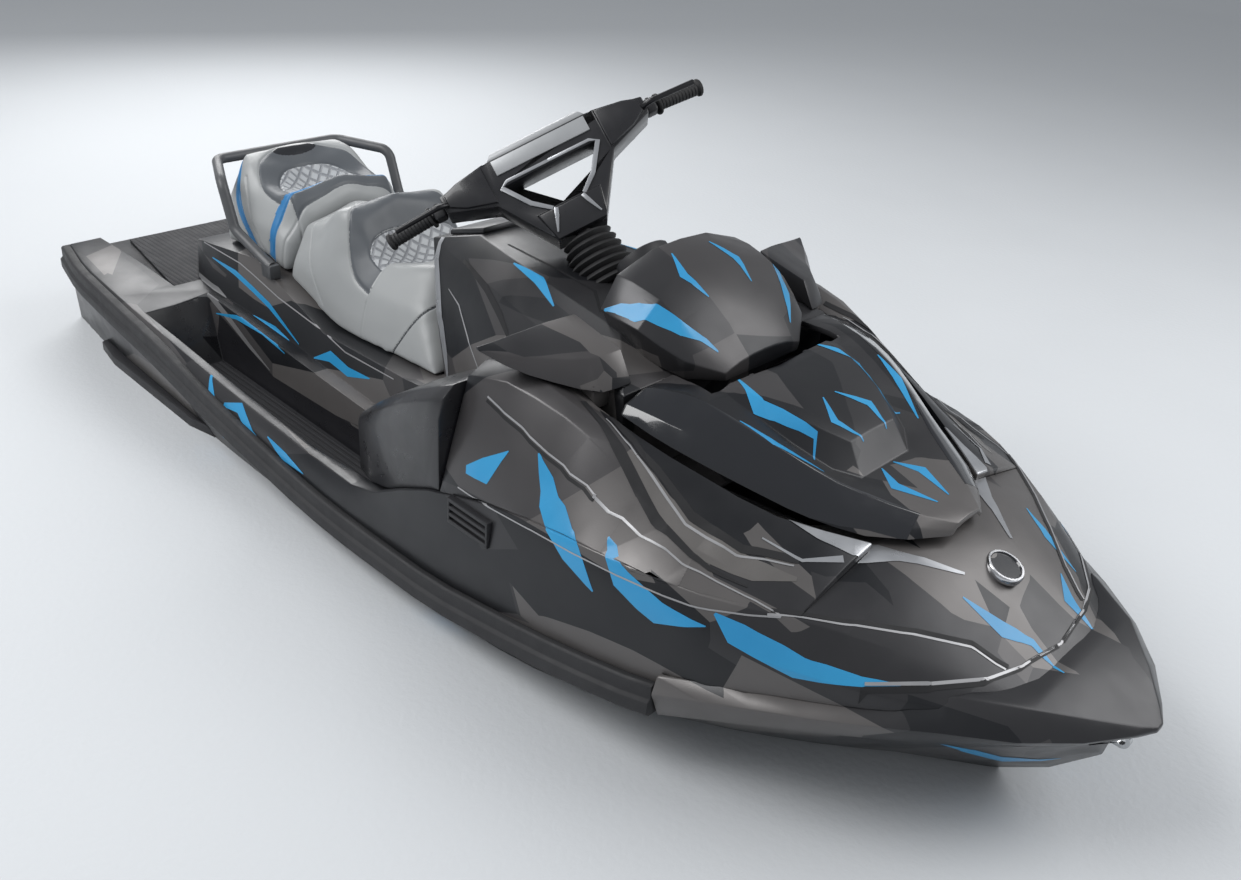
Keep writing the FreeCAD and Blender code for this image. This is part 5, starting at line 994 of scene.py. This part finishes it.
# Grips: ribbed rubber over the bar's ends, spun about each grip's own line from
# a flange at its root to a bead at its end.
GRIP_ROOT, GRIP_END = 0.282, 0.408
GRIP_SWEEP = 0.030
GRIP_OVERHANG = 0.004
FLANGE_START = 0.012
RIBS = 11
RIB_ROOT, RIB_TOP = 0.0152, 0.0168
for side_name, side in SIDES:
    start = Vector((0.0, side * GRIP_ROOT, 0.0))
    end = Vector((-GRIP_SWEEP, side * GRIP_END, 0.0))
    way = (end - start).normalized()
    grip_frame = (bar_frame @ Matrix.Translation(start)
                  @ way.to_track_quat("Z", "X").to_matrix().to_4x4())
    length = (end - start).length + GRIP_OVERHANG
    pitch = (length - FLANGE_START - 0.022) / RIBS
    profile = [(0.0112, FLANGE_START), (0.0235, FLANGE_START), (0.0250, FLANGE_START + 0.002),
               (0.0250, FLANGE_START + 0.006), (0.0172, FLANGE_START + 0.009)]
    for rib in range(RIBS):
        base = FLANGE_START + 0.010 + rib * pitch
        profile += [(RIB_ROOT, base), (RIB_TOP, base + 0.20 * pitch),
                    (RIB_TOP, base + 0.75 * pitch), (RIB_ROOT, base + 0.95 * pitch)]
    profile += [(0.0205, length - 0.008), (0.0210, length - 0.003), (0.0185, length),
                (0.0, length)]
    piece("grip_sleeve_" + side_name, spun(profile, grip_frame, 40), black_rubber,
          body="steering", replaced=("grip_" + side_name,))

# Switch pod: a clamped housing inboard of each grip with three plain buttons.
POD_SIZE = (0.040, 0.030, 0.036)
POD_ROUND = 0.007
POD_PLACE = 0.277
BUTTON = 0.007
BUTTONS_AT = (-0.012, -0.001, 0.010)
for side_name, side in SIDES:
    pod = bmesh.new()
    bmesh.ops.create_cube(pod, size=1.0)
    bmesh.ops.scale(pod, vec=POD_SIZE, verts=pod.verts)
    bevelled(pod, pod.edges[:], POD_ROUND, segments=3)
    for place in BUTTONS_AT:
        button = bmesh.ops.create_cube(pod, size=BUTTON)["verts"]
        bmesh.ops.scale(pod, vec=(1.1, 1.0, 0.5), verts=button)
        bmesh.ops.translate(pod, vec=(place, 0.0, POD_SIZE[2] / 2.0 + 0.0005), verts=button)
    bmesh.ops.translate(pod, vec=(0.0, side * POD_PLACE, 0.0), verts=pod.verts)
    bmesh.ops.transform(pod, matrix=bar_frame, verts=pod.verts)
    piece("switch_pod_" + side_name, creased(pod), black_plastic, body="steering")

# ---------------------------------------------------------------------------
# Instruments, mirrors and glove box. The screen is dark glass set in its pod,
# each mirror is silvered glass in the back of its housing, and the lid is
# wrapped like the console that it closes.
# ---------------------------------------------------------------------------
screen_glass = finish("screen_glass", (0.006, 0.007, 0.009), (0.010, 0.011, 0.014), 0.08,
                      coat=1.0, grain=100.0, relief=0.00001)
mirror_glass = finish("mirror_glass", (0.55, 0.57, 0.60), (0.62, 0.64, 0.66), 0.04, metallic=1.0,
                      grain=100.0, relief=0.00001)
MIRROR_FACING = -0.6
GAUGE_PLACE = Vector((0.362, 0.0, 0.748))
GAUGE_WIDE = 1.22
GLASS = 0.046
gauge_frame = (Matrix.Translation(GAUGE_PLACE) @ Matrix.Rotation(math.radians(-52.0), 4, "Y")
               @ Matrix.Diagonal((1.0, GAUGE_WIDE, 1.0, 1.0)))
gauge = piece("gauge_display", spun((
    (0.0, 0.0), (GLASS, 0.0), (0.048, 0.003), (0.054, 0.003), (0.057, 0.0), (0.058, -0.012),
    (0.054, -0.046), (0.036, -0.060), (0.0, -0.060)), gauge_frame, 56), black_plastic,
    replaced=("gauge_pod",))
gauge.data.materials.append(screen_glass)
for face in gauge.data.polygons:
    place = gauge_frame.inverted() @ face.center
    face.material_index = 1 if place.xy.length < GLASS and place.z > -0.001 else 0
for side_name, side in SIDES:
    housing = skins["mirror_housing_" + side_name]
    housing.data.materials.append(mirror_glass)
    for face in housing.data.polygons:
        if face.normal.x < MIRROR_FACING:
            face.material_index = len(housing.data.materials) - 1
moulding("glovebox_lid", wrap, radius=0.002, body="glovebox_lid")

# ---------------------------------------------------------------------------
# Grab handle, hinge and deck fittings. The handle is a plastic-covered tube,
# and the eyes and boarding step are bent and polished stainless bar.
# ---------------------------------------------------------------------------
grey_plastic = finish("grey_plastic", (0.060, 0.062, 0.066), (0.095, 0.098, 0.103), 0.42,
                      grain=700.0, relief=0.0003)
stainless = finish("stainless", (0.44, 0.45, 0.46), (0.54, 0.55, 0.56), 0.24, metallic=1.0,
                   grain=350.0, relief=0.00001, cloud=4.0)
moulding("grab_handle", grey_plastic, radius=0.002)
moulding("hood_hinge", black_metal, radius=0.001)
moulding("boarding_step", stainless, radius=0.0008, body="boarding_step")
for node in ("bow_eye", "stern_eye_left", "stern_eye_right", "tow_eye"):
    moulding(node, stainless, radius=0.001)

# ---------------------------------------------------------------------------
# Jet drive and engine. Pump, ring, nozzle, plate and grate are cast and
# machined aluminium, the impeller and its shaft are stainless, and the engine
# is a painted block in its bay.
# ---------------------------------------------------------------------------
cast_metal = finish("cast_aluminium", (0.26, 0.27, 0.28), (0.38, 0.39, 0.40), 0.46, metallic=0.9,
                    grain=420.0, relief=0.0004, cloud=14.0)
engine_paint = finish("engine_paint", (0.020, 0.021, 0.023), (0.040, 0.041, 0.044), 0.55,
                      grain=300.0, relief=0.0005)
for node, body in (("pump_housing", "root"), ("ride_plate", "root"), ("intake_grate", "root"),
                   ("trim_ring", "trim_ring"), ("steering_nozzle", "steering_nozzle")):
    moulding(node, cast_metal, radius=0.0012, body=body)
for node in ("impeller", "drive_shaft"):
    moulding(node, stainless, radius=0.0008, body="impeller")
moulding("engine", engine_paint, radius=0.012)
